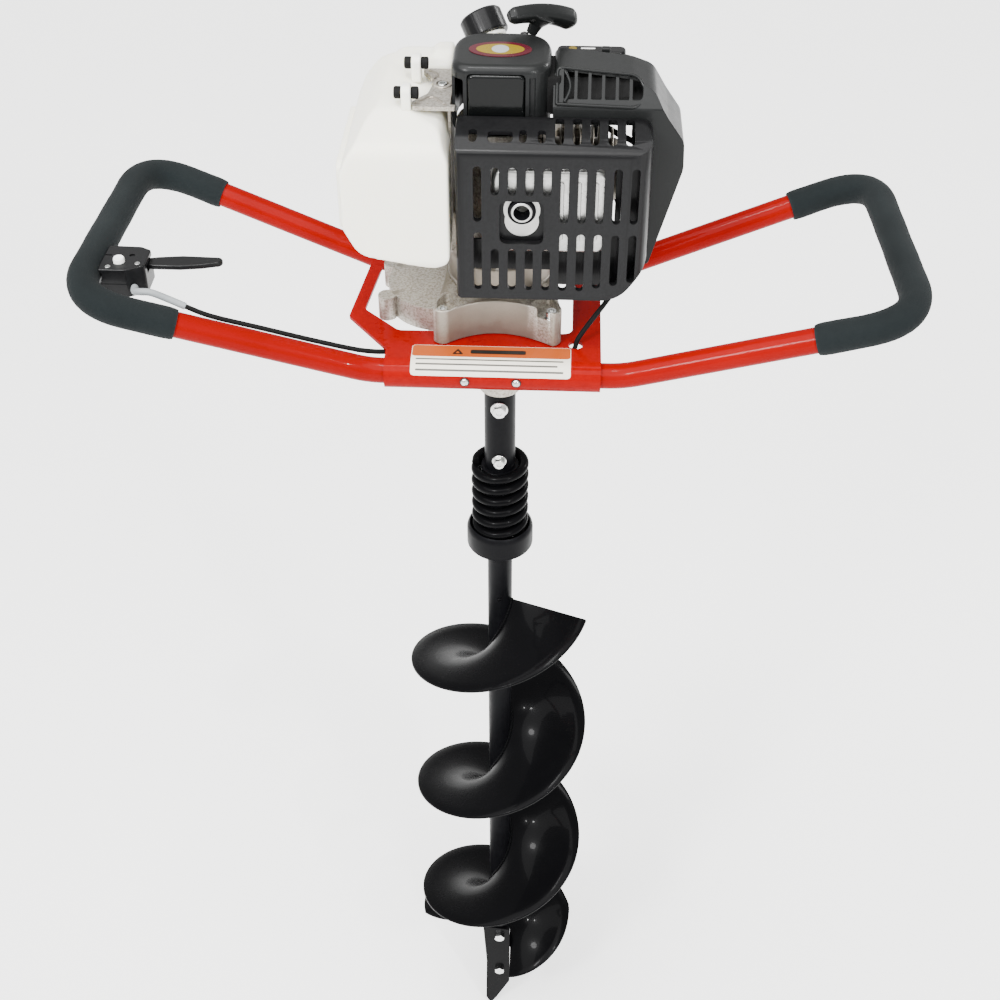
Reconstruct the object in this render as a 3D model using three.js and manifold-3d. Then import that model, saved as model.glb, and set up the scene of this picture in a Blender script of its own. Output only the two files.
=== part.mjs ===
// One-person power auger: petrol engine, clutch, two-stage gearcase, twin U-shaped
// handles, spring shock drive and a right-hand helical bit.
// Millimetres. Origin: on the output axis, level with the handle tubes' centre lines.
// +Z up along the drive axis, +X to the user's right, +Y to the back.
import * as THREE from 'three';
import { mergeVertices } from 'three/addons/utils/BufferGeometryUtils.js';
import Module from 'manifold-3d';

const wasm = await Module();
wasm.setup();

// ---------------------------------------------------------------- driving sizes
const GAP = 0.3; // clearance kept between touching pieces
const TAU = Math.PI * 2;

// handle tubes and bracket
const TUBE_R = 11.1; // 7/8 inch tube
const TUBE_WALL = 2;
const HALF_SPACING = 91; // tube centre line to output axis
const BEND_X = 95; // tubes leave the sleeves here
const LOOP_FRONT_X = 350;
const LOOP_REAR_X = 341;
const RISE = 0.335; // height gained per millimetre outward
const TOE = 0.125; // spread gained per millimetre outward
const CORNER = 50; // tangent length of the loop's corners
const TUBE_STEPS = 30;
const GRIP_R = 14.5;
const GRIP_BORE = 12.1;
const GRIP_FIRST = 9; // first and last tube station covered by foam
const GRIP_LAST = 21;
const SLEEVE_R = 14.4;
const SLEEVE_BORE = 11.8;
const SLEEVE_LEFT = -96;
const SLEEVE_RIGHT = 91;
const PLATE = 3;
const PLATE_TOP = SLEEVE_R;
const PLATE_LOW = PLATE_TOP - PLATE;
const RIVET_X = [-26, 18.5];
const RIVET_HOLE_R = 2.6;
const CABLE_HOLE = { x: 69, y: -66, r: 6.4 };

// gear train: two equal stages on two parallel axes
const MODULE = 1.4;
const WHEEL_TEETH = 60;
const PINION_TEETH = 12;
const WHEEL_R = (MODULE * WHEEL_TEETH) / 2;
const PINION_R = (MODULE * PINION_TEETH) / 2;
const LAY_X = -(WHEEL_R + PINION_R); // countershaft axis
const PRESSURE = THREE.MathUtils.degToRad(25);
const BACKLASH = 0.2; // taken off each tooth's pitch thickness
const OUTPUT_GEAR_Z = [-6, 6];
const LAY_GEAR_Z = [19, 28];

// gearcase
const CASE_TOP = 49;
const LOBE_TOP = 37;
const CASE_BASE = PLATE_TOP + GAP;
const BOSS = { x: 47, y: 62, r: 9 };
const HUB_R = 20;
const HUB_LOW = -78;
const LOWER_FLOOR = -20;
const SHAFT_R = 10;
const SHAFT_LOW = -122;

// shock drive
const DRIVE_R = 15;
const DRIVE_TOP = -80;
const DRIVE_LOW = -182;
const STEM_R = 12.7; // 1 inch tube
const STEM_TOP = -146;
const STEM_LOW = -1045;
const UPPER_BOLT_Z = -95;
const LOWER_BOLT_Z = -157;
const BOLT_HOLE_R = 4.4;
const BOLT_REACH = 18.2; // from the axis to under the head
const STROKE = 18;
const SPRING_R = 24;
const WIRE_R = 4.5;
const SPRING_TOP = -166;
const SPRING_LOW = -266.5;
const COILS = 7.5;
const CUP_R = 33.5;
const CUP_Z = [-273.5, -246];

// bit
const FLIGHT_R = 97;
const PITCH = 205;
const FLIGHT_TOP_Z = -352;
const FLIGHT_TOP_ANGLE = -20; // degrees, 0 points to +X
const FLIGHT_END_ANGLE = -1180;
const TAPER_ANGLE = -1058; // the rim runs in to the point from here
const FLIGHT_THICK = 4;
const BLADE_BOLT_Z = [-944, -1018];
const BLADE_HOLE_R = 3.9;

// engine, all on or square to the crank axis
const CRANK_R = 8;
const THROW = 17;
const BORE_Z = 150; // height of the cylinder's axis
const COVER = { x0: -38, x1: 42, y0: -38, y1: 33.4, low: 196, top: 256, corner: 19 };
const WALL = 2.5; // moulded covers
const LOUVRE_PITCH = 14.1; // guard slots, side by side
const LOUVRE_X = -15;
const GRILLE_PITCH = 11;
const STARTER_FOOT = new THREE.Vector3(24.4, 42.8, 251);
const STARTER_PULL = new THREE.Vector3(0.45, 0.1, 0.887).normalize();
const STARTER_BAR = new THREE.Vector3(0.82, 0.45, -0.34).normalize();

const CHOKE = [86.5, 38, 229.2]; // choke lever's pivot

// fuel system
const CAP_AXIS = new THREE.Vector3(-0.42, 0.58, 0.7).normalize();
const CAP_SEAT = new THREE.Vector3(-12, 64, 237);
const BUFFERS = { front: [-73.6, -36, 232.6], rear: [-69.5, 14, 235.6] };
const BUFFER_R = 5;
const CAP_R = 18.5;

// throttle, on the left grip
const THROTTLE_LOW = 64;
const THROTTLE_TOP = 91;
const LEVER_Z = [80.5, 85.5];
const LEVER_PIVOT = [-311, -60];
const STOP_AT = [-320, -70];
const STOP_R = 4.8;
const STOP_TRAVEL = 3;

// Held cable: out of the housing, beside the tube, under the plate, up through its hole.
const CABLE_R = 2.2;
const CABLE_ROUTE = [
  [-306, -83.6, 74], [-304, -92, 75.5], [-298, -97, 78.2], [-288, -97.8, 78],
  [-274, -97.6, 71.6], [-261, -98, 65.4], [-240, -96.9, 55.4], [-200, -91.6, 41.2],
  [-160, -86.2, 26.9], [-125, -81, 15], [-108, -77, 10], [-97, -74, 8], [-85, -72.6, 7.2],
  [-40, -71.5, 7], [20, -71.5, 7], [54, -70.4, 6.2], [62, -68.4, 7],
  [67.8, -66.8, 10.6], [70.6, -65.4, 20],
  [80, -61, 34], [92, -53, 48], [102, -44.6, 61], [108, -34, 78], [108, -8, 92],
  [102, 20, 108], [90, 38, 124], [80, 44, 131], [75.6, 46, 139],
];

const group = new THREE.Group();

// ---------------------------------------------------------------- shape helpers
function cleaned(geometry) {
  const bare = geometry.index ? geometry.toNonIndexed() : geometry.clone();
  bare.deleteAttribute('normal');
  bare.deleteAttribute('uv');
  return mergeVertices(bare, 1e-3);
}

function volume(geometry) {
  const p = geometry.attributes.position;
  const index = geometry.index.array;
  const corner = [new THREE.Vector3(), new THREE.Vector3(), new THREE.Vector3()];
  let sum = 0;
  for (let i = 0; i < index.length; i += 3) {
    corner.forEach((c, k) => c.fromBufferAttribute(p, index[i + k]));
    sum += corner[0].dot(corner[1].clone().cross(corner[2])) / 6;
  }
  return sum;
}

// A closed mesh with merged corners and its faces pointing out.
function outward(geometry) {
  const mesh = cleaned(geometry);
  if (volume(mesh) < 0) {
    const index = mesh.index.array;
    for (let i = 0; i < index.length; i += 3) {
      [index[i + 1], index[i + 2]] = [index[i + 2], index[i + 1]];
    }
  }
  return mesh;
}

function toSolid(geometry) {
  const mesh = outward(geometry);
  return new wasm.Manifold(new wasm.Mesh({
    numProp: 3,
    vertProperties: new Float32Array(mesh.attributes.position.array),
    triVerts: new Uint32Array(mesh.index.array),
  }));
}

function toGeometry(solid) {
  const mesh = solid.getMesh();
  const geometry = new THREE.BufferGeometry();
  geometry.setAttribute('position', new THREE.BufferAttribute(mesh.vertProperties, 3));
  geometry.setIndex(new THREE.BufferAttribute(mesh.triVerts, 1));
  return geometry;
}

function combine(method, first, rest) {
  return toGeometry(rest.reduce((sum, next) => sum[method](toSolid(next)), toSolid(first)));
}

const join = (first, ...rest) => combine('add', first, rest);
const cut = (first, ...rest) => combine('subtract', first, rest);
const overlap = (first, ...rest) => combine('intersect', first, rest);

// A box between two corners.
function block(x0, x1, y0, y1, z0, z1) {
  const box = new THREE.BoxGeometry(x1 - x0, y1 - y0, z1 - z0);
  return box.translate((x0 + x1) / 2, (y0 + y1) / 2, (z0 + z1) / 2);
}

// An upright cylinder from z0 to z1.
function post(r, z0, z1, x = 0, y = 0, sides = 16) {
  const body = new THREE.CylinderGeometry(r, r, z1 - z0, sides);
  return body.rotateX(Math.PI / 2).translate(x, y, (z0 + z1) / 2);
}

// A cylinder of length `span` centred on `at`, along `axis`.
function rod(r, span, at, axis, sides = 16) {
  const turn = new THREE.Quaternion().setFromUnitVectors(
    new THREE.Vector3(0, 1, 0),
    new THREE.Vector3(...axis).normalize(),
  );
  const body = new THREE.CylinderGeometry(r, r, span, sides);
  return body.applyQuaternion(turn).translate(...at);
}

// A body turned about Z from [radius, height] corners.
function turned(profile, sides = 16) {
  const points = profile.map(([r, z]) => new THREE.Vector2(r, z));
  return new THREE.LatheGeometry(points, sides).rotateX(Math.PI / 2);
}

function ring(outer, inner, z0, z1, x = 0, y = 0, sides = 16) {
  const profile = [[inner, z0], [outer, z0], [outer, z1], [inner, z1], [inner, z0]];
  return turned(profile, sides).translate(x, y, 0);
}

function outline(corners) {
  return new THREE.Shape(corners.map(([a, b]) => new THREE.Vector2(a, b)));
}

// A flat outline in X and Y, raised from z0 to z1.
function slab(shape, z0, z1, curveSegments = 3) {
  const options = { depth: z1 - z0, bevelEnabled: false, curveSegments };
  return new THREE.ExtrudeGeometry(shape, options).translate(0, 0, z0);
}

// An outline in X and Z, drawn along Y.
function alongY(shape, y0, y1, curveSegments = 3) {
  return slab(shape, -y1, -y0, curveSegments).rotateX(Math.PI / 2);
}

// An outline in Y and Z, drawn along X.
function alongX(shape, x0, x1, curveSegments = 3) {
  return slab(shape, x0, x1, curveSegments).rotateX(Math.PI / 2).rotateZ(Math.PI / 2);
}

function roundedBox(x0, x1, y0, y1, r) {
  const s = new THREE.Shape();
  s.absarc(x1 - r, y0 + r, r, -Math.PI / 2, 0);
  s.absarc(x1 - r, y1 - r, r, 0, Math.PI / 2);
  s.absarc(x0 + r, y1 - r, r, Math.PI / 2, Math.PI);
  s.absarc(x0 + r, y0 + r, r, Math.PI, Math.PI * 1.5);
  return s;
}

function disc(r, inner = 0, sides = 12, innerSides = sides) {
  const s = new THREE.Shape();
  for (let i = 0; i <= sides; i += 1) {
    const a = (i / sides) * TAU;
    s[i ? 'lineTo' : 'moveTo'](r * Math.cos(a), r * Math.sin(a));
  }
  if (inner) {
    const hole = new THREE.Path();
    for (let i = innerSides; i >= 0; i -= 1) {
      const a = (i / innerSides) * TAU;
      hole[i < innerSides ? 'lineTo' : 'moveTo'](inner * Math.cos(a), inner * Math.sin(a));
    }
    s.holes.push(hole);
  }
  return s;
}

function sweep(shape, path, steps) {
  return new THREE.ExtrudeGeometry(shape, { steps, bevelEnabled: false, extrudePath: path });
}

// Straight runs through the corner points, with a smooth bend at each corner.
function bentPath(corners, tangents) {
  const path = new THREE.CurvePath();
  let from = corners[0];
  for (let i = 1; i < corners.length - 1; i += 1) {
    const at = corners[i];
    const entry = at.clone().lerp(corners[i - 1], tangents[i - 1] / at.distanceTo(corners[i - 1]));
    const exit = at.clone().lerp(corners[i + 1], tangents[i - 1] / at.distanceTo(corners[i + 1]));
    path.add(new THREE.LineCurve3(from, entry));
    path.add(new THREE.QuadraticBezierCurve3(entry, at, exit));
    from = exit;
  }
  path.add(new THREE.LineCurve3(from, corners[corners.length - 1]));
  return path;
}

// The stretch of a path between two of its stations.
class PathStretch extends THREE.Curve {
  constructor(path, first, last) {
    super();
    this.path = path;
    this.first = first;
    this.last = last;
  }

  getPoint(t, target = new THREE.Vector3()) {
    return target.copy(this.path.getPointAt(this.first + (this.last - this.first) * t));
  }
}

// ---------------------------------------------------------------- finishes
const FINISH = {
  red: { color: 0xd8141a, roughness: 0.3, metalness: 0.1 },
  foam: { color: 0x33383a, roughness: 0.9, metalness: 0 },
  cast: { color: 0xb9b6b0, roughness: 0.45, metalness: 0.8 },
  black: { color: 0x141516, roughness: 0.35, metalness: 0.1 },
  paint: { color: 0x0c0c0d, roughness: 0.25, metalness: 0.3 },
  steel: { color: 0x9a9c9e, roughness: 0.35, metalness: 0.9 },
  zinc: { color: 0xd5d6d4, roughness: 0.3, metalness: 0.9 },
  tank: { color: 0xecebe0, roughness: 0.4, metalness: 0 },
  rubber: { color: 0x101010, roughness: 0.8, metalness: 0 },
  white: { color: 0xf0f0ee, roughness: 0.4, metalness: 0 },
};

function add(name, geometry, finish) {
  const mesh = new THREE.Mesh(outward(geometry), new THREE.MeshStandardMaterial(FINISH[finish]));
  mesh.name = name;
  group.add(mesh);
}

// ---------------------------------------------------------------- handle frame
function handlePath(side) {
  const point = (x, y, z) => new THREE.Vector3(side * x, y, z);
  const front = LOOP_FRONT_X - BEND_X;
  const rear = LOOP_REAR_X - BEND_X;
  const corners = [
    point(3, -HALF_SPACING, 0),
    point(BEND_X + 15, -HALF_SPACING, 0),
    point(LOOP_FRONT_X, -HALF_SPACING - TOE * front, RISE * front),
    point(LOOP_REAR_X, HALF_SPACING + TOE * rear, RISE * rear),
    point(BEND_X + 15, HALF_SPACING, 0),
    point(3, HALF_SPACING, 0),
  ];
  return bentPath(corners, [13, CORNER, CORNER, 13]);
}

function rivetHoles(r) {
  return RIVET_X.map((x) => rod(r, 16, [x, -HALF_SPACING - 12, 0], [0, 1, 0], 10));
}

function makeHandles() {
  for (const side of [-1, 1]) {
    const name = side < 0 ? 'left' : 'right';
    const path = handlePath(side);
    const tube = sweep(disc(TUBE_R, TUBE_R - TUBE_WALL, 10, 6), path, TUBE_STEPS);
    add(`handle_tube_${name}`, cut(tube, ...rivetHoles(RIVET_HOLE_R)), 'red');
    const stretch = new PathStretch(path, GRIP_FIRST / TUBE_STEPS, GRIP_LAST / TUBE_STEPS);
    add(`grip_${name}`, sweep(disc(GRIP_R, GRIP_BORE, 10), stretch, GRIP_LAST - GRIP_FIRST), 'foam');
  }
}

// Plate with a window round the gearcase, its edges rolled into two sleeves.
function makeBracket() {
  const left = SLEEVE_LEFT;
  const right = SLEEVE_RIGHT;
  const reach = HALF_SPACING;
  const plate = outline([
    [right, -reach], [right, reach], [left, reach], [left, 82],
    [-123, 70], [-134, -28], [left, -78], [left, -reach],
  ]);
  const windowHole = outline([
    [66, -49], [66, 49], [-108, 62], [-113, 56], [-121, -16], [-88, -49],
  ]);
  plate.holes.push(windowHole);
  const cableHole = post(CABLE_HOLE.r, PLATE_LOW - 1, PLATE_TOP + 1, CABLE_HOLE.x, CABLE_HOLE.y);
  const middle = (left + right) / 2;
  const [sleeves, bores] = [[SLEEVE_R, right - left], [SLEEVE_BORE, right - left + 2]].map(
    ([r, span]) => [-1, 1].map((s) => rod(r, span, [middle, s * reach, 0], [1, 0, 0], 24)),
  );
  const solid = join(slab(plate, PLATE_LOW, PLATE_TOP), ...sleeves);
  add('mount_bracket', cut(solid, ...bores, cableHole, ...rivetHoles(RIVET_HOLE_R)), 'red');
}

function makeRivets() {
  RIVET_X.forEach((x, i) => {
    const shank = rod(2.2, 8, [x, -HALF_SPACING - 12.4, 0], [0, 1, 0], 10);
    const head = rod(3.4, 1.8, [x, -HALF_SPACING - SLEEVE_R - GAP - 0.9, 0], [0, 1, 0], 12);
    add(`handle_rivet_${i + 1}`, join(shank, head), 'zinc');
  });
}

// ---------------------------------------------------------------- gears
function flankAngle(teeth, r) {
  const pitchR = (MODULE * teeth) / 2;
  const involute = (a) => Math.tan(a) - a;
  const baseR = pitchR * Math.cos(PRESSURE);
  const at = r > baseR ? Math.acos(baseR / r) : 0;
  const half = (Math.PI / 2 - BACKLASH / MODULE) / teeth;
  return half + involute(PRESSURE) - involute(at);
}

function gearShape(teeth, radii, boreR) {
  const s = new THREE.Shape();
  const flank = radii.map((r) => [r, flankAngle(teeth, r)]);
  const corners = [...flank.map(([r, a]) => [r, -a]), ...flank.reverse()];
  for (let i = 0; i < teeth; i += 1) {
    corners.forEach(([r, a], k) => {
      const angle = (i / teeth) * TAU + a;
      s[i + k ? 'lineTo' : 'moveTo'](r * Math.cos(angle), r * Math.sin(angle));
    });
  }
  if (boreR) {
    s.holes.push(disc(boreR, 0, 16));
  }
  return s;
}

function wheel(z, boreR) {
  const radii = [WHEEL_R - MODULE * 1.35, WHEEL_R + MODULE];
  return slab(gearShape(WHEEL_TEETH, radii, boreR), z[0], z[1]);
}

// A pinion turned half a pitch, so that a tooth space faces the wheel.
function pinion(z0, z1) {
  const radii = [PINION_R - MODULE * 1.3, PINION_R, PINION_R + MODULE];
  return slab(gearShape(PINION_TEETH, radii, 0), z0, z1).rotateZ(Math.PI / PINION_TEETH);
}

function makeGearTrain() {
  add('output_gear', wheel(OUTPUT_GEAR_Z, SHAFT_R + 0.4), 'steel');
  const lay = turned([
    [0, -18.4], [6, -18.4], [6, -8], [7, -8], [7, 8], [8, 8],
    [8, 29], [6, 29], [6, 34.4], [0, 34.4],
  ]);
  const layShaft = join(lay, pinion(OUTPUT_GEAR_Z[0] - 1, OUTPUT_GEAR_Z[1] + 1));
  add('countershaft', layShaft.translate(LAY_X, 0, 0), 'steel');
  add('countershaft_gear', wheel(LAY_GEAR_Z, 8.4).translate(LAY_X, 0, 0), 'steel');
  for (const [name, z] of [['lower', [-18.7, -14.8]], ['upper', [30.3, 34.7]]]) {
    add(`countershaft_bush_${name}`, ring(9, 6.35, z[0], z[1], LAY_X), 'steel');
  }
  add('input_bearing', ring(13, 6.35, 38, 46), 'steel');
  add('output_bearing_upper', ring(15.7, 10.4, -26.7, -17), 'steel');
  add('output_bearing_lower', ring(15.7, 10.4, -77.5, -68), 'steel');
}

// Four-armed flange over a round core, and a low lobe round the countershaft wheel.
function starShape() {
  const s = new THREE.Shape();
  const corners = [[1, -1, -60], [1, 1, 50], [-1, 1, 120], [-1, -1, 230]];
  const bends = [[42, 0], [0, 36], [-42, 0], [0, -36]];
  corners.forEach(([sx, sy, start], i) => {
    const a = THREE.MathUtils.degToRad(start - 20);
    s.absarc(sx * BOSS.x, sy * BOSS.y, BOSS.r, a, a + THREE.MathUtils.degToRad(110));
    const [nx, ny, next] = corners[(i + 1) % 4];
    const b = THREE.MathUtils.degToRad(next - 20);
    const to = [nx * BOSS.x + BOSS.r * Math.cos(b), ny * BOSS.y + BOSS.r * Math.sin(b)];
    s.quadraticCurveTo(...bends[i], ...to);
  });
  return s;
}

function makeGearcase() {
  const lobe = join(
    post(49.5, CASE_BASE, LOBE_TOP, LAY_X, 0, 28),
    post(8, CASE_BASE, LOBE_TOP, -99, -27, 12),
    post(8, CASE_BASE, LOBE_TOP, -99, 27, 12),
  );
  const star = slab(starShape(), CASE_BASE, CASE_TOP, 4);
  const core = post(46, CASE_BASE, CASE_TOP, 0, 0, 24);
  const bolts = [[-1, -1], [1, -1], [1, 1], [-1, 1]].map(([sx, sy]) => (
    post(3.6, CASE_BASE - 1, CASE_TOP + 1, sx * BOSS.x, sy * BOSS.y, 10)
  ));
  add('gear_housing', cut(
    join(star, core, lobe),
    post(45.5, CASE_BASE - 1, 30, LAY_X, 0, 28),
    post(14, CASE_BASE - 1, 37.7),
    post(13.4, 37, 46.3),
    post(7, 40, CASE_TOP + 1),
    post(9.4, 29, 35, LAY_X),
    ...bolts,
  ), 'cast');
  const shell = join(
    post(48, LOWER_FLOOR, PLATE_TOP, 0, 0, 24),
    post(16, LOWER_FLOOR, PLATE_TOP, LAY_X, 0, 18),
    post(HUB_R, HUB_LOW, LOWER_FLOOR + 1, 0, 0, 22),
    post(24, -34, LOWER_FLOOR + 1, 0, 0, 22),
  );
  add('gear_housing_lower', cut(
    shell,
    post(45.2, -14.5, PLATE_TOP + 1, 0, 0, 24),
    post(12.5, -14.5, PLATE_TOP + 1, LAY_X, 0),
    post(9.4, -19, -14, LAY_X),
    post(16.1, -27, -14),
    post(16.1, HUB_LOW - 1, -67.7),
    post(12, HUB_LOW - 1, -14),
  ), 'cast');
}

// ---------------------------------------------------------------- shock drive
function hexBolt(z, shankR, headR) {
  const shank = rod(shankR, BOLT_REACH * 2, [0, 0, z], [0, 1, 0], 12);
  const head = rod(headR, 5.5, [0, -BOLT_REACH - 1, z], [0, 1, 0], 6);
  const nut = rod(headR, 6, [0, BOLT_REACH + 0.2, z], [0, 1, 0], 6);
  return join(shank, head, nut);
}

function springPath() {
  class Helix extends THREE.Curve {
    getPoint(t, target = new THREE.Vector3()) {
      const a = t * COILS * TAU;
      const z = SPRING_LOW + WIRE_R + (SPRING_TOP - SPRING_LOW - 2 * WIRE_R) * t;
      return target.set(SPRING_R * Math.cos(a), SPRING_R * Math.sin(a), z);
    }
  }
  return new Helix();
}

function makeShockDrive() {
  add('output_shaft', cut(
    turned([[0, SHAFT_LOW], [SHAFT_R, SHAFT_LOW], [SHAFT_R, 10], [0, 10]]),
    rod(BOLT_HOLE_R, 40, [0, 0, UPPER_BOLT_Z], [0, 1, 0], 12),
  ), 'steel');
  const tube = turned([
    [SHAFT_R + 0.5, DRIVE_TOP], [SHAFT_R + 0.5, -124], [13.2, -124], [13.2, DRIVE_LOW],
    [DRIVE_R, DRIVE_LOW], [DRIVE_R, DRIVE_TOP], [SHAFT_R + 0.5, DRIVE_TOP],
  ], 20);
  add('drive_tube', cut(
    tube,
    rod(BOLT_HOLE_R, 40, [0, 0, UPPER_BOLT_Z], [0, 1, 0], 12),
    rod(BOLT_HOLE_R, 40, [0, 0, LOWER_BOLT_Z], [0, 1, 0], 12),
  ), 'paint');
  add('shaft_bolt_upper', hexBolt(UPPER_BOLT_Z, 4, 7), 'zinc');
  add('shaft_bolt_lower', hexBolt(LOWER_BOLT_Z, 4, 5.9), 'zinc');
  add('shock_spring', sweep(disc(WIRE_R, 0, 6), springPath(), Math.round(COILS * 9)), 'paint');
  add('spring_cup', turned([
    [STEM_R + 0.5, CUP_Z[0]], [CUP_R, CUP_Z[0]], [CUP_R, CUP_Z[1]], [30, CUP_Z[1]],
    [30, CUP_Z[0] + 6], [STEM_R + 0.5, CUP_Z[0] + 6], [STEM_R + 0.5, CUP_Z[0]],
  ], 24), 'paint');
}

// ---------------------------------------------------------------- bit
// A thin helical ribbon: four corners at each station, joined in a strip.
function ribbon(stations) {
  const vertices = [];
  const faces = [];
  for (const { angle, z, inner, outer } of stations) {
    const [c, s] = [Math.cos(angle), Math.sin(angle)];
    for (const [r, h] of [[inner, -1], [outer, -1], [outer, 1], [inner, 1]]) {
      vertices.push(r * c, r * s, z + (h * FLIGHT_THICK) / 2);
    }
  }
  for (let i = 0; i < stations.length - 1; i += 1) {
    for (let k = 0; k < 4; k += 1) {
      const a = i * 4 + k;
      const b = i * 4 + ((k + 1) % 4);
      faces.push(a, b, b + 4, a, b + 4, a + 4);
    }
  }
  const e = (stations.length - 1) * 4;
  faces.push(0, 2, 1, 0, 3, 2, e, e + 1, e + 2, e, e + 2, e + 3);
  const geometry = new THREE.BufferGeometry();
  geometry.setAttribute('position', new THREE.Float32BufferAttribute(vertices, 3));
  geometry.setIndex(faces);
  return geometry;
}

function helix(firstAngle, lastAngle, topZ, radiusAt, step = 18) {
  const count = Math.round((firstAngle - lastAngle) / step);
  return Array.from({ length: count + 1 }, (_, i) => {
    const degrees = firstAngle + ((lastAngle - firstAngle) * i) / count;
    return {
      angle: THREE.MathUtils.degToRad(degrees),
      z: topZ + (PITCH * (degrees - firstAngle)) / 360,
      inner: STEM_R + 0.4,
      outer: radiusAt(degrees),
    };
  });
}

function makeBit() {
  const slotLow = LOWER_BOLT_Z - STROKE - 5.5;
  const slotTop = LOWER_BOLT_Z + 4.6;
  const slotMid = (slotLow + slotTop) / 2;
  const boltHoles = BLADE_BOLT_Z.map((z) => rod(BLADE_HOLE_R, 60, [0, 0, z], [0, 1, 0], 10));
  const flat = block(-14, 14, -14, -8.6, -1050, -925);
  add('bit_stem', cut(
    ring(STEM_R, STEM_R - 3, STEM_LOW, STEM_TOP, 0, 0, 24),
    block(-4.6, 4.6, -16, 16, slotLow + 4, slotTop - 4),
    rod(4.6, 40, [0, 0, slotLow + 4.6], [0, 1, 0], 12),
    rod(4.6, 40, [0, 0, slotTop - 4.6], [0, 1, 0], 12),
    rod(4.6, 40, [0, 0, slotMid], [0, 1, 0], 12),
    ...boltHoles,
    flat,
  ), 'paint');
  const main = helix(FLIGHT_TOP_ANGLE, FLIGHT_END_ANGLE, FLIGHT_TOP_Z, (degrees) => {
    const t = Math.max(0, (TAPER_ANGLE - degrees) / (TAPER_ANGLE - FLIGHT_END_ANGLE));
    return FLIGHT_R + (26 - FLIGHT_R) * t;
  });
  const bladeSeat = block(-23, 13.6, -14.2, -8.3, -1060, -915);
  const bladeFront = block(-60, 13.6, -110, -8.3, -1060, -955);
  add('main_flight', cut(ribbon(main), bladeSeat, bladeFront), 'paint');
  const lead = helix(215, 120, -873, (degrees) => {
    const t = Math.abs(degrees - 175) / 55;
    return 97 - 65 * Math.max(0, t - 0.35);
  });
  add('second_flight', ribbon(lead), 'paint');
  const blade = outline([
    [-21, -925], [13, -931], [13, -1046], [-4, -1085], [-12, -1100], [-18, -1085], [-17, -1000],
  ]);
  const holes = BLADE_BOLT_Z.map((z) => rod(BLADE_HOLE_R, 40, [0, -12, z], [0, 1, 0], 10));
  add('point_blade', cut(alongY(blade, -13.6, -8.9), ...holes), 'paint');
  BLADE_BOLT_Z.forEach((z, i) => {
    const shank = rod(3.5, 30, [0, -1, z], [0, 1, 0], 10);
    const head = rod(6.6, 4.5, [0, -16.2, z], [0, 1, 0], 6);
    add(`blade_bolt_${i + 1}`, join(shank, head), 'zinc');
  });
}

// ---------------------------------------------------------------- clutch and crank
function makeCrankLine() {
  const drum = turned([
    [0, 17.5], [6, 17.5], [6, 50], [39, 50], [39, 69], [36, 69], [36, 53], [0, 53],
  ], 22);
  add('clutch_drum', join(drum, pinion(18, 30)), 'steel');
  const shoes = cut(
    ring(35, CRANK_R + 0.4, 55, 67, 0, 0, 22),
    block(-40, 40, -2, 2, 54, 68),
    ring(30, 13, 54, 61),
  );
  const hub = ring(12, CRANK_R + 0.4, 55, 67);
  const bridge = cut(block(-34, 34, -6, 6, 61.5, 66.5), post(CRANK_R + 0.4, 50, 70));
  add('clutch_shoes', join(shoes, hub, bridge), 'steel');
  add('clutch_housing', turned([
    [41.5, CASE_TOP + GAP], [46, CASE_TOP + GAP], [46, 74], [41, 80], [41, 114], [38.5, 114],
    [38.5, 80], [36, 75.5], [12, 75.5], [12, 71.5], [41.5, 71.5], [41.5, CASE_TOP + GAP],
  ], 24), 'cast');
  const vanes = Array.from({ length: 8 }, (_, i) => (
    block(15, 35, -1.2, 1.2, 88, 106).rotateZ((i / 8) * TAU)
  ));
  const web = ring(36, CRANK_R + 0.4, 84, 89, 0, 0, 22);
  add('flywheel', join(web, ring(17, CRANK_R + 0.4, 84, 108), ...vanes), 'cast');
  const lower = turned([
    [0, 54.5], [CRANK_R, 54.5], [CRANK_R, 126], [22, 126], [22, 136], [0, 136],
  ]);
  add('crankshaft_lower', join(lower, post(6.5, 135, 141, THROW, 0, 16)), 'steel');
  add('crankshaft_upper', turned([
    [0, 164], [22, 164], [22, 174], [CRANK_R, 174], [CRANK_R, 208], [0, 208],
  ]), 'steel');
  add('crank_bearing', ring(13.7, CRANK_R + 0.4, 114.7, 122.8), 'steel');
}

function makeCrankcase() {
  const flange = post(41, 114.3, 118, 0, 0, 24);
  const body = post(34, 114.3, 190, 0, 0, 24);
  const cheek = block(0, 36, -28, 28, 122, 178);
  const starterSeat = post(36, 186, 195.5, 0, 0, 24);
  add('crankcase', cut(
    join(flange, body, cheek, starterSeat),
    post(28.5, 124, 176, 0, 0, 22),
    rod(21, 40, [25, 0, BORE_Z], [1, 0, 0], 22),
    post(14.1, 110, 123.1),
    post(CRANK_R + 0.7, 110, 200),
  ), 'cast');
}

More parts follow.
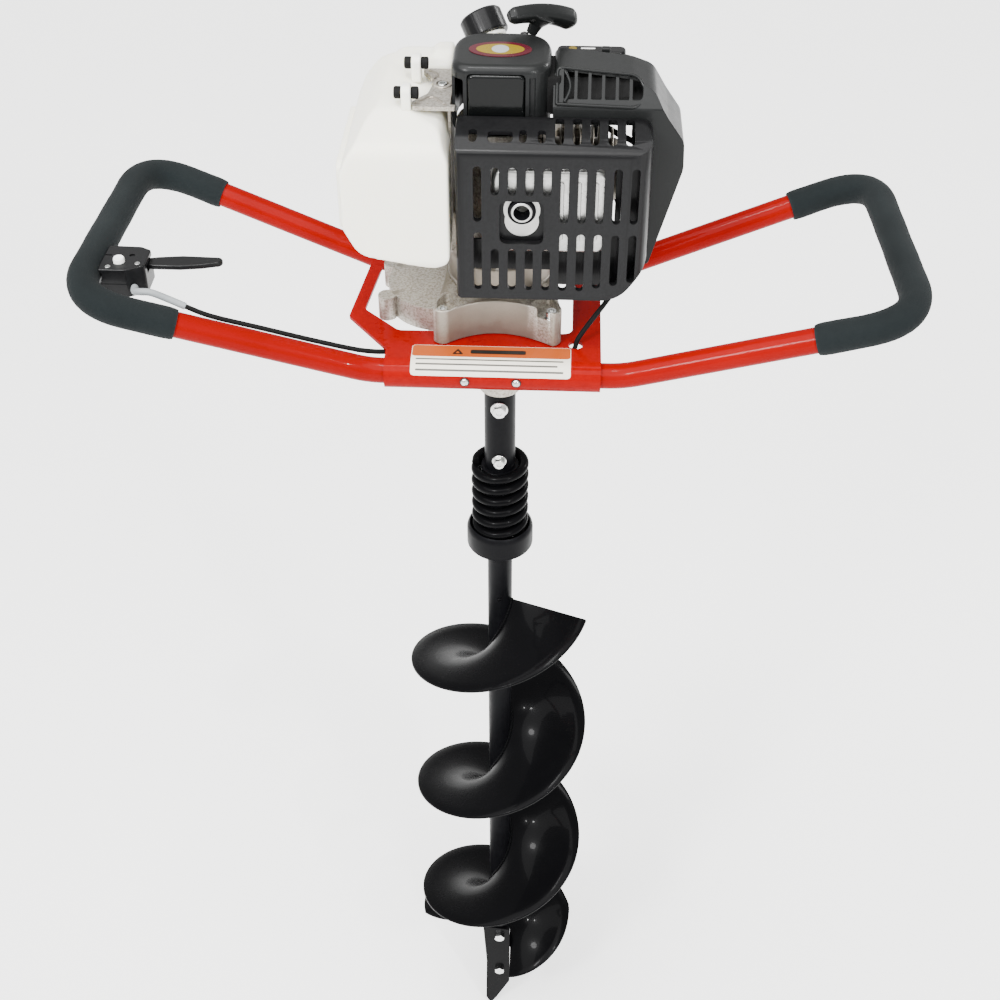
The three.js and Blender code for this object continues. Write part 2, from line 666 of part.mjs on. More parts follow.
// Finned barrel lying along X, closed by its head.
function makeCylinder() {
  const profile = [[20.7, 36.3], [30, 36.3], [30, 42]];
  const fins = 5;
  for (let i = 0; i < fins; i += 1) {
    const x = 45 + i * 11;
    profile.push([26, x], [37, x], [37, x + 3], [26, x + 3]);
  }
  profile.push([26, 100], [5.6, 100], [5.6, 93], [20.7, 93], [20.7, 36.3]);
  const barrel = turned(profile, 18).rotateY(Math.PI / 2).translate(0, 0, BORE_Z);
  add('cylinder', cut(
    barrel,
    rod(7, 30, [64, -30, BORE_Z], [0, 1, 0], 12),
    rod(7, 30, [64, 30, BORE_Z], [0, 1, 0], 12),
  ), 'cast');
  add('spark_plug', turned([
    [0, 88.5], [4.8, 88.5], [4.8, 100.4], [9, 100.4], [9, 107], [5.5, 108], [4.5, 128], [0, 128],
  ], 16).rotateY(Math.PI / 2).translate(0, 0, BORE_Z), 'white');
  const pistonHead = rod(20, 28, [73, 0, BORE_Z], [1, 0, 0], 22);
  add('piston', cut(
    pistonHead,
    rod(16, 24, [70, 0, BORE_Z], [1, 0, 0], 24),
    rod(4.6, 60, [68, 0, BORE_Z], [0, 0, 1], 12),
  ), 'steel');
  const big = ring(10.5, 7.2, 144, 156, THROW, 0, 20);
  const small = post(6.5, BORE_Z - 6, BORE_Z + 6, 68, 0, 16);
  const pin = post(4, BORE_Z - 18, BORE_Z + 18, 68, 0, 12);
  const beam = block(THROW + 9, 64, -3.5, 3.5, BORE_Z - 4, BORE_Z + 4);
  add('connecting_rod', join(beam, big, small, pin), 'steel');
}

// ---------------------------------------------------------------- engine dress
function makeMuffler() {
  const box = alongY(roundedBox(-4, 92, 110, 186, 10), -73, -43);
  const inside = alongY(roundedBox(-2, 90, 112, 184, 8), -71, -45);
  const pipe = rod(9, 8, [21, -75, BORE_Z], [0, 1, 0], 20);
  const outlet = rod(7, 20, [21, -74, BORE_Z], [0, 1, 0], 20);
  add('muffler', cut(join(cut(box, inside), pipe), outlet), 'steel');
}

function guardShape(inset) {
  const front = new THREE.Shape();
  const [x0, x1, low, top] = [-33 + inset, 125 - inset, 69 + inset, 216 - inset];
  front.moveTo(x0, low);
  front.lineTo(92, low);
  front.quadraticCurveTo(x1 - 2, low + 2, x1, 112);
  front.lineTo(x1, top - 14);
  front.quadraticCurveTo(x1, top, x1 - 14, top);
  front.lineTo(x0, top);
  const side = outline([
    [-80 + inset, 60], [-80 + inset, 194], [-76 + inset, 204 - inset * 0.5],
    [-66, 211 - inset], [-41, 217 - inset], [-41, 60],
  ]);
  return overlap(alongY(front, -81, -41), alongX(side, -40, 140));
}

function makeGuard() {
  const upper = [[141, 192], [166, 192], [166, 192], [166, 192], [166, 192]];
  const lower = [[78, 132], [78, 118], [78, 118], [78, 118], [78, 118]];
  for (let i = 0; i < 5; i += 1) {
    upper.push([144, 192]);
    lower.push([i < 3 ? 78 : 90, 132]);
  }
  const slots = [...upper, ...lower].map(([z0, z1], i) => {
    const x = LOUVRE_X + (i % 10) * LOUVRE_PITCH;
    return block(x - 3.2, x + 3.2, -82, -70, z0, z1);
  });
  const topSlots = Array.from({ length: 5 }, (_, i) => {
    const x = 50 + i * LOUVRE_PITCH;
    return block(x - 3.6, x + 3.6, -62, -45, 200, 220);
  });
  const inside = guardShape(WALL).translate(0, WALL + 0.2, 0);
  add('muffler_guard', cut(
    guardShape(0),
    inside,
    block(-30.5, 90, -77.3, -40, 60, 75),
    block(2, 40, -82, -70, 121, 162),
    ...slots,
    ...topSlots,
  ), 'black');
}

// Cover over the cylinder, open below and to the crankcase.
function coverShape(inset) {
  const s = new THREE.Shape();
  const low = 82 - inset * 2;
  s.moveTo(118, low);
  s.lineTo(128 - inset, low);
  s.lineTo(152 - inset, 172);
  s.quadraticCurveTo(153 - inset, 200, 136 - inset, 217 - inset);
  s.quadraticCurveTo(120, 240 - inset, 108, 242 - inset);
  s.lineTo(44 + inset, 249 - inset);
  s.lineTo(44 + inset, 205);
  s.lineTo(108, 205);
  return s;
}

function makeEngineCover() {
  const side = outline([
    [-40.6, 70], [-40.6, 224], [-18, 251], [21, 251], [21, 70],
  ]);
  const outer = overlap(alongY(coverShape(0), -41, 21), alongX(side, 40, 160));
  const hollow = overlap(
    alongY(coverShape(WALL), -38, 25),
    alongX(outline([
      [-38, 70], [-38, 223], [-17, 248.4], [24, 248.4], [24, 70],
    ]), 40, 160),
  );
  const grille = Array.from({ length: 6 }, (_, i) => {
    const x = 56.5 + i * GRILLE_PITCH;
    return block(x - 4.2, x + 4.2, -41, -20, 229, 251);
  });
  const belly = block(46.5, 108, -50, 30, 200, 210);
  const airGap = block(40, 108.5, -38, 30, 204, 212);
  add('engine_cover', cut(outer, hollow, belly, airGap, ...grille), 'black');
}

function makeIntake() {
  add('carburettor', join(
    block(46, 72, 38.5, 62, 138, 166),
    rod(8, 24, [59, 50, 176], [0, 0, 1], 16),
  ), 'cast');
  const bulb = turned([[0, 0], [9, 0], [8.5, 5], [6, 9], [0, 11]], 16);
  add('primer_bulb', bulb.rotateY(Math.PI / 2).translate(77, 56, 156), 'rubber');
  const shell = slab(roundedBox(44, 112, 22, 68, 10), 192, 224);
  const rim = slab(roundedBox(46, 104, 54, 68, 5), 220, 230);
  const inside = slab(roundedBox(46.5, 109.5, 24.5, 65.5, 8), 190, 221.5);
  add('air_cleaner_cover', cut(join(shell, rim), inside), 'black');
  const [x, y, z] = CHOKE;
  const hub = rod(4.2, 8, CHOKE, [1, 0, 0], 14);
  add('choke_lever', join(hub, block(x - 3, x + 3, y - 3.5, y + 3.5, z, z + 13)), 'black');
}

function makeStarter() {
  const { x0, x1, y0, y1, low, top, corner } = COVER;
  const shell = slab(roundedBox(x0, x1, y0, y1, corner), low, top);
  const t = WALL;
  const inside = slab(roundedBox(x0 + t, x1 - t, y0 + t, y1 - t, corner - t), low - 1, top - t);
  const hollowCover = cut(shell, inside);
  const spindle = post(5, 214, top - 1, 0, 0, 16);
  const guideMiddle = STARTER_FOOT.clone().addScaledVector(STARTER_PULL, -8);
  const guide = rod(8, 10, guideMiddle.toArray(), STARTER_PULL.toArray(), 12);
  const ropeHole = rod(3.5, 40, guideMiddle.toArray(), STARTER_PULL.toArray(), 12);
  const bridge = block(13, 29, y1 - 1, 42, 238, 246);
  add('recoil_cover', cut(join(hollowCover, spindle, bridge, guide), ropeHole), 'black');
  add('starter_pulley', turned([
    [5.4, 216], [30, 216], [30, 218], [26, 220], [26, 223], [30, 225], [30, 227],
    [5.4, 227], [5.4, 216],
  ], 20), 'black');
  const centre = STARTER_FOOT.clone().addScaledVector(STARTER_PULL, 17);
  const neckMiddle = STARTER_FOOT.clone().addScaledVector(STARTER_PULL, 9);
  const neck = rod(5.5, 20, neckMiddle.toArray(), STARTER_PULL.toArray(), 12);
  const half = 33;
  const ends = [-1, 1].map((s) => centre.clone().addScaledVector(STARTER_BAR, s * half));
  const lift = STARTER_PULL.clone().multiplyScalar(6);
  const arch = new THREE.QuadraticBezierCurve3(ends[0], centre.clone().add(lift), ends[1]);
  const grip = sweep(disc(7.5, 0, 10), arch, 6);
  add('starter_handle', join(grip, neck), 'black');
}

// ---------------------------------------------------------------- fuel system
function tankShape() {
  const front = outline([
    [-52, 93.5], [-42, 97], [-38.5, 104], [-38.5, 192], [-44, 208], [-54, 217], [-66, 219],
    [-74, 221], [-82, 225], [-92, 224.5], [-104, 216.5], [-113, 206], [-122, 193],
    [-127, 180], [-127, 134], [-114, 108],
  ]);
  const side = outline([
    [-72, 94], [-80, 102], [-80, 202], [-72, 214], [-40, 222], [0, 226], [60, 226],
    [72, 218], [78, 204], [78, 108], [70, 98],
  ]);
  const body = overlap(alongY(front, -81, 80), alongX(side, -140, -38));
  const rear = slab(roundedBox(-92, -41, 32, 74, 10), 190, 226);
  const flange = block(-131, -126, -62, 50, 120, 182);
  return cut(join(body, rear, flange), block(-41, -30, -37, 90, 60, 240));
}

function alongCap(r, from, to, sides = 16) {
  const mid = CAP_SEAT.clone().addScaledVector(CAP_AXIS, (from + to) / 2);
  return rod(r, to - from, mid.toArray(), CAP_AXIS.toArray(), sides);
}

function makeTank() {
  const middle = new THREE.Vector3(-84, -1, 160);
  const inner = tankShape().translate(...middle.clone().negate().toArray());
  inner.scale(0.92, 0.96, 0.96).translate(...middle.toArray());
  const lobe = slab(roundedBox(-70, 12, 38, 76, 10), 192, 222);
  const lobeInside = slab(roundedBox(-72, 9.5, 40.5, 73.5, 8), 194.5, 219.5);
  const lugs = Object.values(BUFFERS).map(([x, y, z]) => (
    block(x - 4, x + 4, y - 7.5, y + 7.5, z - 20, z + 7)
  ));
  const lugHoles = Object.values(BUFFERS).map((at) => rod(BUFFER_R + 0.5, 20, at, [1, 0, 0], 12));
  add('fuel_tank', cut(
    join(tankShape(), lobe, alongCap(12, -24, 8), ...lugs),
    cut(inner, block(-82, -40, -60, 30, 206, 260)),
    lobeInside,
    alongCap(9, -26, 9),
    ...lugHoles,
  ), 'tank');
  add('fuel_cap', cut(alongCap(CAP_R, 0.5, 21, 28), alongCap(13.1, -1, 10)), 'black');
  for (const [name, at] of Object.entries(BUFFERS)) {
    add(`tank_buffer_${name}`, rod(BUFFER_R, 20, at, [1, 0, 0], 12), 'rubber');
  }
  const plate = outline([
    [-69, -44], [-34, -44], [-34, -39.5], [-38.5, -39.5], [-38.5, 28], [-64.5, 28], [-64.5, 22.5],
    [-57, 12], [-55, -4], [-58, -20], [-69, -34],
  ]);
  const leg = block(-40.6, -38.4, -36, 26, 119, 224);
  add('tank_bracket', join(slab(plate, 221, 224.5), leg), 'cast');
}

// ---------------------------------------------------------------- throttle
function makeThrottle() {
  const low = THROTTLE_LOW;
  const top = THROTTLE_TOP;
  const [pivotX, pivotY] = LEVER_PIVOT;
  const slotZ = [LEVER_Z[0] - 1, LEVER_Z[1] + 1];
  const body = outline([
    [-346, -84], [-312, -84], [-297, -76], [-297, -50], [-306, -46], [-330, -44], [-346, -48],
  ]);
  const path = handlePath(-1);
  const reach = new PathStretch(path, GRIP_FIRST / TUBE_STEPS, GRIP_LAST / TUBE_STEPS);
  const saddle = sweep(disc(GRIP_R + 0.6), reach, GRIP_LAST - GRIP_FIRST);
  const slot = join(
    block(-318, -290, -70, -40, ...slotZ),
    post(7.5, ...slotZ, pivotX, pivotY),
  );
  const pinHole = post(2.4, 70, top + 1, pivotX, pivotY, 10);
  const button = post(STOP_R + 0.6, top - 4 - STOP_TRAVEL, top + 1, ...STOP_AT);
  const far = block(-400, -345, -120, 0, 0, 120);
  add('throttle_housing', cut(
    slab(body, low, top), saddle, slot, pinHole, button, far,
  ), 'black');
  const blade = new THREE.Shape();
  blade.moveTo(-305, -64);
  blade.quadraticCurveTo(-270, -68, -240, -60);
  blade.absarc(-240, -55, 5, -Math.PI / 2, Math.PI / 2);
  blade.quadraticCurveTo(-270, -46, -305, -55);
  const lever = join(
    slab(blade, ...LEVER_Z, 6),
    post(6.5, ...LEVER_Z, pivotX, pivotY),
    block(pivotX, -304, -64, -55.5, ...LEVER_Z),
    post(2, 71, top - 1, pivotX, pivotY, 10),
  );
  add('throttle_lever', lever, 'black');
  add('stop_button', post(STOP_R, top - 3.5, top + 4, ...STOP_AT), 'white');
}

function makeCable() {
  const points = CABLE_ROUTE.map((p) => new THREE.Vector3(...p));
  const route = new THREE.CatmullRomCurve3(points, false, 'centripetal');
  add('throttle_cable', sweep(disc(CABLE_R, 0, 8), route, 46), 'rubber');
}

makeHandles();
makeBracket();
makeRivets();
makeGearTrain();
makeGearcase();
makeShockDrive();
makeBit();
makeCrankLine();
makeCrankcase();
makeCylinder();
makeMuffler();
makeGuard();
makeEngineCover();
makeIntake();
makeStarter();
makeTank();
makeThrottle();
makeCable();

export default group;
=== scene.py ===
import math

import bmesh
import bpy
from mathutils import Matrix, Vector, noise


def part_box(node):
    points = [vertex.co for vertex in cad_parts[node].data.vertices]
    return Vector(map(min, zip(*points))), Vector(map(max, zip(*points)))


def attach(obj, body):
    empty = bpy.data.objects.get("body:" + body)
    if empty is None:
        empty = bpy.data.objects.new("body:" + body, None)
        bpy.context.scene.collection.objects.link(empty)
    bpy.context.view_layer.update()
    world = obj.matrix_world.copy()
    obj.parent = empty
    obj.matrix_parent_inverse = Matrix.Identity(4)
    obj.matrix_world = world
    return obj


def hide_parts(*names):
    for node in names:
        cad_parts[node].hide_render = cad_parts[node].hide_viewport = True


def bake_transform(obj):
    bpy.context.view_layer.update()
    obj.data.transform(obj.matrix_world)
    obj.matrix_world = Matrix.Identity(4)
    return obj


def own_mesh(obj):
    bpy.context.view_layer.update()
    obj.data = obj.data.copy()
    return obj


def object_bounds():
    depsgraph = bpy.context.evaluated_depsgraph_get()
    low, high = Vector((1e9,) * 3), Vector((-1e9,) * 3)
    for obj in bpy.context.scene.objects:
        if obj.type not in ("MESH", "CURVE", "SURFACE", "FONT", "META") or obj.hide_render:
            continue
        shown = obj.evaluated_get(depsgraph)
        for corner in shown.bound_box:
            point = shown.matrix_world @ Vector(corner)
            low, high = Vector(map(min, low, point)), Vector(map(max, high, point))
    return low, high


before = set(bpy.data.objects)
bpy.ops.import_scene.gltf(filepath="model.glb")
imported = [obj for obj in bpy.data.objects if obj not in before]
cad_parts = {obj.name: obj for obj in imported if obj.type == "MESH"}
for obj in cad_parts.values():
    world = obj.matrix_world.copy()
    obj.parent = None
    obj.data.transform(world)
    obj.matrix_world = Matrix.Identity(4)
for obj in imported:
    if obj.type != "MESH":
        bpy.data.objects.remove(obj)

cad_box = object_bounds()
MM = 0.001
TAU = math.pi * 2


class Box:
    """A CAD node's box, in millimetres."""

    def __init__(self, node):
        low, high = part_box(node)
        self.x0, self.y0, self.z0 = (v / MM for v in low)
        self.x1, self.y1, self.z1 = (v / MM for v in high)
        self.x, self.y, self.z = ((a / MM + b / MM) / 2 for a, b in zip(low, high))


# ---------------------------------------------------------------- camera, light, floor
AZIMUTH = math.radians(2.5)
ELEVATION = math.radians(39.8)
DISTANCE = 1.545
AIM = Vector((0, 0, -0.219))
LENS = 55.4


def aimed(obj, towards):
    """Links an object and turns its -Z axis along a direction."""
    bpy.context.collection.objects.link(obj)
    obj.rotation_euler = Vector(towards).to_track_quat("-Z", "Y").to_euler()
    return obj


def add_camera():
    data = bpy.data.cameras.new("camera")
    data.lens = LENS
    data.sensor_width = 36
    back = Vector((
        math.sin(AZIMUTH) * math.cos(ELEVATION),
        -math.cos(AZIMUTH) * math.cos(ELEVATION),
        math.sin(ELEVATION),
    ))
    camera = aimed(bpy.data.objects.new("camera", data), -back)
    camera.location = AIM + back * DISTANCE
    bpy.context.scene.camera = camera


# area lights: name, place and size in metres, power in watts
LIGHTS = [
    ("key_light", (-1.0, -1.7, 1.5), 0.5, 60),
    ("spot_light_low", (0.95, -1.5, 0.55), 0.09, 14),
    ("spot_light_high", (0.8, -1.35, 1.1), 0.09, 14),
    ("strip_light", (-0.2, -0.5, 2.1), 0.35, 16),
    ("rim_light", (1.7, 1.3, 0.9), 0.5, 18),
]
LIGHT_AIM = Vector((0, 0, -0.25))
SKY_STRENGTH = 1.1
SUN_STRENGTH, SUN_SPREAD = 6.5, math.radians(75)
FLOOR_HALF, FLOOR_GAP = 9, 0.001  # metres


def add_studio():
    world = bpy.data.worlds.new("studio")
    bpy.context.scene.world = world
    world.use_nodes = True
    sky = world.node_tree.nodes["Background"]
    sky.inputs["Color"].default_value = (1, 1, 1, 1)
    sky.inputs["Strength"].default_value = SKY_STRENGTH
    sun = bpy.data.lights.new("overhead_light", "SUN")
    sun.energy = SUN_STRENGTH
    sun.angle = SUN_SPREAD
    aimed(bpy.data.objects.new("overhead_light", sun), (0.28, 0.42, -1))
    for name, place, size, power in LIGHTS:
        lamp = bpy.data.lights.new(name, "AREA")
        lamp.shape = "DISK"
        lamp.size = size
        lamp.energy = power
        aimed(bpy.data.objects.new(name, lamp), LIGHT_AIM - Vector(place)).location = place
    bm = bmesh.new()
    bmesh.ops.create_grid(bm, x_segments=8, y_segments=8, size=FLOOR_HALF)
    floor = new_object(bm, "studio_floor")
    floor.location.z = cad_box[0].z - FLOOR_GAP
    floor.data.materials.append(FLOOR)


# ---------------------------------------------------------------- materials
def linear(code):
    """A hex colour as scene-linear RGBA."""
    parts = [int(code[i:i + 2], 16) / 255 for i in (0, 2, 4)]
    return [c / 12.92 if c <= 0.04045 else ((c + 0.055) / 1.055) ** 2.4 for c in parts] + [1]


class Graph:
    """Short calls for building one material's node tree."""

    def __init__(self, name):
        self.material = bpy.data.materials.new(name)
        self.material.use_nodes = True
        self.tree = self.material.node_tree
        self.shader = self.tree.nodes["Principled BSDF"]
        self.place = self.add("ShaderNodeTexCoord").outputs["Object"]

    def add(self, kind, **settings):
        node = self.tree.nodes.new(kind)
        for key, value in settings.items():
            setattr(node, key, value)
        return node

    def feed(self, socket, value):
        if isinstance(value, bpy.types.NodeSocket):
            self.tree.links.new(value, socket)
        else:
            socket.default_value = value

    def noise(self, scale, detail, rough):
        node = self.add("ShaderNodeTexNoise")
        self.feed(node.inputs["Scale"], scale)
        self.feed(node.inputs["Detail"], detail)
        self.feed(node.inputs["Roughness"], rough)
        self.feed(node.inputs["Vector"], self.place)
        return node.outputs["Fac"]

    def cells(self, scale):
        node = self.add("ShaderNodeTexVoronoi")
        self.feed(node.inputs["Scale"], scale)
        self.feed(node.inputs["Vector"], self.place)
        return node.outputs["Distance"]

    def fit(self, value, low, high, to_low, to_high):
        node = self.add("ShaderNodeMapRange")
        for socket, amount in zip(node.inputs, (value, low, high, to_low, to_high)):
            self.feed(socket, amount)
        return node.outputs["Result"]

    def mix(self, factor, first, second):
        node = self.add("ShaderNodeMix", data_type="RGBA")
        self.feed(node.inputs["Factor"], factor)
        self.feed(node.inputs[6], first)
        self.feed(node.inputs[7], second)
        return node.outputs[2]

    def math(self, operation, first, second):
        node = self.add("ShaderNodeMath", operation=operation)
        self.feed(node.inputs[0], first)
        self.feed(node.inputs[1], second)
        return node.outputs[0]

    def set(self, **inputs):
        for key, value in inputs.items():
            self.feed(self.shader.inputs[key.replace("_", " ")], value)

    def bump(self, height, depth, strength, under=None):
        node = self.add("ShaderNodeBump")
        self.feed(node.inputs["Height"], height)
        self.feed(node.inputs["Distance"], depth)
        self.feed(node.inputs["Strength"], strength)
        if under is not None:
            self.feed(node.inputs["Normal"], under)
        return node.outputs["Normal"]


def shaded(colour, amount):
    return [min(1, c * amount) for c in colour[:3]] + [1]


SLOTS = {}  # a material's name to its CAD slot


def surface(
    name, code, roughness, slot=None, metallic=0.0, mottle=0.1, spread=0.08, patch=22, grain=1200,
    depth=0.00003, wear=None, wear_amount=0.4, dust=0.0, coat=0.0, cells=False, level=0.5, speckle=2.5,
    **sockets,
):
    """A finish whose colour and gloss drift in patches, with grain, rubbed edges and dust."""
    g = Graph(name)
    SLOTS[g.material.name] = slot or name
    base = linear(code)
    cloud = g.noise(patch, 5, 0.6)
    colour = g.mix(g.fit(cloud, 0.3, 0.7, 0, 1), shaded(base, 1 - mottle), shaded(base, 1 + mottle))
    speck = g.noise(patch * 16, 3, 0.7)
    colour = g.mix(g.fit(speck, 0.42, 0.72, 0, mottle), colour, shaded(base, 1 - speckle * mottle))
    if wear:
        edge = g.add("ShaderNodeNewGeometry").outputs["Pointiness"]
        rubbed = g.math("MULTIPLY", g.fit(edge, 0.53, 0.6, 0, wear_amount), g.fit(speck, 0.35, 0.6, 0, 1))
        colour = g.mix(rubbed, colour, linear(wear))
    if dust:
        up = g.add("ShaderNodeSeparateXYZ")
        g.feed(up.inputs[0], g.add("ShaderNodeNewGeometry").outputs["Normal"])
        film = g.math("MULTIPLY", g.fit(up.outputs["Z"], 0.4, 1, 0, dust), g.fit(cloud, 0.3, 0.75, 0.3, 1))
        colour = g.mix(film, colour, linear("4a4844"))
    gloss = g.fit(g.noise(patch * 4, 4, 0.65), 0.25, 0.75, roughness - spread, roughness + spread)
    height = g.cells(grain) if cells else g.noise(grain, 3, 0.6)
    relief = g.bump(height, depth, 1.0, g.bump(cloud, depth * 4, 0.5))
    g.set(Base_Color=colour, Roughness=gloss, Metallic=metallic, Coat_Weight=coat, Coat_Roughness=0.05,
          Specular_IOR_Level=level, Normal=relief, **sockets)
    return g.material


def plastic(name, code, roughness, depth, dust, level):
    """Moulded nylon with a fine spark-eroded texture."""
    return surface(name, code, roughness, "black_plastic", spread=0.05, patch=24, grain=1700, depth=depth,
                   wear="2a2b2d", wear_amount=0.08, dust=dust, coat=0.06, level=level, speckle=0.8)


def rubber(name, code, roughness, slot=None):
    return surface(name, code, roughness, slot, mottle=0.15, patch=30, grain=1600, depth=0.00005,
                   wear="2a2a2a", wear_amount=0.25, dust=0.02, level=0.1)


def ink(name, code, roughness=0.45):
    """Printed film or a coloured moulding."""
    return surface(name, code, roughness, "white_plastic", mottle=0.05, spread=0.06, patch=40,
                   depth=0.00002, level=0.25)


FLOOR = surface("pale_floor", "f8f8f7", 0.7, mottle=0.01, spread=0.05, patch=1.5, grain=60, depth=0.0001,
                level=0.1, Emission_Color=(1, 1, 1, 1), Emission_Strength=0.5)
# glossy red powder coat with a fine orange peel
RED = surface("red_powder_coat", "740000", 0.3, mottle=0.08, spread=0.06, patch=14, grain=520,
              wear="900000", wear_amount=0.2, coat=0.07, level=0.02, speckle=0.6)
# closed-cell foam with a dry, pitted skin
FOAM = surface("foam_grip", "15191a", 0.86, mottle=0.2, spread=0.06, patch=16, grain=1900, depth=0.0002,
               wear="2c3334", wear_amount=0.3, dust=0.03, cells=True, level=0.05,
               Sheen_Weight=0.02, Sheen_Roughness=0.5)
# bead-blasted aluminium casting
CAST = surface("cast_aluminium", "827b70", 0.46, metallic=0.8, mottle=0.16, spread=0.1, patch=30,
               grain=1300, depth=0.0001, wear="d8d4cc", wear_amount=0.5, dust=0.03)
PLASTIC = plastic("black_plastic", "0a0a0b", 0.33, 0.00005, 0.02, 0.12)
GLOSS_PLASTIC = plastic("glossy_black_plastic", "050606", 0.12, 0.00002, 0.0, 0.14)
GREY_PLASTIC = plastic("dark_grey_plastic", "121313", 0.36, 0.00004, 0.03, 0.12)
# glossy black enamel over steel
ENAMEL = surface("black_paint", "070708", 0.26, mottle=0.12, spread=0.05, patch=12, grain=320,
                 wear="141414", wear_amount=0.1, coat=0.03, level=0.02)
SATIN = surface("satin_black_paint", "08080a", 0.38, "black_paint", mottle=0.2, spread=0.07, patch=18,
                grain=800, depth=0.00004, wear="262729", wear_amount=0.12, level=0.05)
# turned and ground steel
STEEL = surface("machined_steel", "8c8e90", 0.34, metallic=0.95, spread=0.09, patch=26, grain=900,
                wear="c4c5c6")
# aluminised sheet, heat tinted in patches
SHEET = surface("aluminised_sheet", "a9a9a6", 0.3, "machined_steel", metallic=0.9, mottle=0.12, patch=20,
                grain=700, depth=0.00004, wear="e0e0de")
ZINC = surface("zinc_plate", "b4b5b3", 0.22, metallic=1.0, patch=60, grain=1500, wear="ffffff")
# natural polyethylene: translucent, faintly yellow, a little cloudy
TANK = surface("milky_tank", "efeddf", 0.4, mottle=0.03, spread=0.06, patch=9, grain=420, depth=0.00006,
               level=0.3, Subsurface_Weight=0.35, Subsurface_Radius=(0.012, 0.011, 0.008),
               Subsurface_Scale=0.8)
RUBBER = rubber("black_rubber", "0c0c0c", 0.7)
WHITE = ink("white_plastic", "f1f1ee", 0.35)
ORANGE = ink("label_orange", "94400a")
PAPER = ink("label_white", "d8d2c4")
GREY_INK = ink("label_grey", "4a4844")
DARK_INK = ink("label_dark", "0e0b0a")
MAROON = ink("badge_maroon", "3e0412", 0.3)
YELLOW = ink("badge_yellow", "6e5c02", 0.3)
SILVER = ink("badge_silver", "8a8c8e", 0.25)
GREY_SLEEVE = rubber("grey_sleeve", "84888a", 0.45, "white_plastic")


# ---------------------------------------------------------------- mesh helpers
def new_object(bm, name="shape"):
    bmesh.ops.recalc_face_normals(bm, faces=bm.faces)
    mesh = bpy.data.meshes.new(name)
    bm.to_mesh(mesh)
    bm.free()
    obj = bpy.data.objects.new(name, mesh)
    bpy.context.collection.objects.link(obj)
    return obj


def settle(obj):
    """Applies the object's modifiers to its mesh."""
    graph = bpy.context.evaluated_depsgraph_get()
    mesh = bpy.data.meshes.new_from_object(obj.evaluated_get(graph), depsgraph=graph)
    old = obj.data
    obj.modifiers.clear()
    obj.data = mesh
    bpy.data.meshes.remove(old)
    return obj


def modified(obj, kind, **settings):
    modifier = obj.modifiers.new(kind.lower(), kind)
    for key, value in settings.items():
        setattr(modifier, key, value)
    return settle(obj)


def boolean(obj, operation, tools):
    for tool in tools:
        modified(obj, "BOOLEAN", operation=operation, solver="MANIFOLD", object=tool)
        bpy.data.objects.remove(tool)
    return obj


def cut(obj, *tools):
    return boolean(obj, "DIFFERENCE", tools)


def joined(obj, *tools):
    return boolean(obj, "UNION", tools)


def overlap(obj, *tools):
    return boolean(obj, "INTERSECT", tools)


def rounded(obj, width, segments=2, angle=50):
    """Rounds every edge sharper than the angle."""
    return modified(
        obj, "BEVEL", width=width, segments=segments, limit_method="ANGLE",
        angle_limit=math.radians(angle), use_clamp_overlap=True, miter_outer="MITER_ARC",
    )


def spokes(count, start, *span):
    """Copies of a block, evenly turned about Z."""
    made = [block(*span) for _ in range(count)]
    for k, rib in enumerate(made):
        rib.data.transform(Matrix.Rotation(TAU * k / count + start, 4, "Z"))
    return made


def melted(obj, voxel, rounds):
    """Remeshes a solid evenly and softens it, as a moulding or casting is soft."""
    modified(obj, "REMESH", mode="VOXEL", voxel_size=voxel, use_smooth_shade=True)
    return modified(obj, "SMOOTH", factor=0.5, iterations=rounds)


def merged(first, *rest):
    """Several meshes as one object, without joining their surfaces."""
    bm = bmesh.new()
    for obj in (first, *rest):
        bm.from_mesh(obj.data)
    bm.to_mesh(first.data)
    bm.free()
    for obj in rest:
        bpy.data.objects.remove(obj)
    return first


def turned_to(axis):
    return Vector((0, 0, 1)).rotation_difference(Vector(axis).normalized()).to_matrix().to_4x4()


def placed(obj, at=(0, 0, 0), axis=(0, 0, 1), spin=0.0):
    """Stands a Z-axis body at a point, along an axis."""
    turn = turned_to(axis) @ Matrix.Rotation(spin, 4, "Z")
    obj.data.transform(Matrix.Translation(at) @ turn)
    return obj


PLANES = {
    "XY": lambda u, v, w: (u, v, w),
    "XZ": lambda u, v, w: (u, w, v),
    "YZ": lambda u, v, w: (w, u, v),
}


def skin(bm, low, high):
    """Faces between two closed rings of vertices."""
    for k in range(len(low)):
        j = (k + 1) % len(low)
        bm.faces.new((low[k], low[j], high[j], high[k]))


def prism(outline, low, high, plane="XY"):
    """An outline in one plane, drawn along the third axis."""
    bm = bmesh.new()
    spot = PLANES[plane]
    rings = [[bm.verts.new(spot(u, v, w)) for u, v in outline] for w in (low, high)]
    bm.faces.new(rings[0])
    bm.faces.new(rings[1][::-1])
    skin(bm, *rings)
    return new_object(bm)


def rectangle(x0, x1, y0, y1):
    return [(x0, y0), (x1, y0), (x1, y1), (x0, y1)]


def block(x0, x1, y0, y1, z0, z1, corner=0.0, plane="XY"):
    spans = {"XY": ((x0, x1), (y0, y1), (z0, z1)), "XZ": ((x0, x1), (z0, z1), (y0, y1)),
             "YZ": ((y0, y1), (z0, z1), (x0, x1))}[plane]
    points = rectangle(*spans[0], *spans[1])
    return prism(fillet(points, corner) if corner else points, *spans[2], plane)


def bend(first, corner, last, steps):
    """Points on the curve from first to last that the corner pulls out."""
    return [first.lerp(corner, k / steps).lerp(corner.lerp(last, k / steps), k / steps)
            for k in range(steps + 1)]


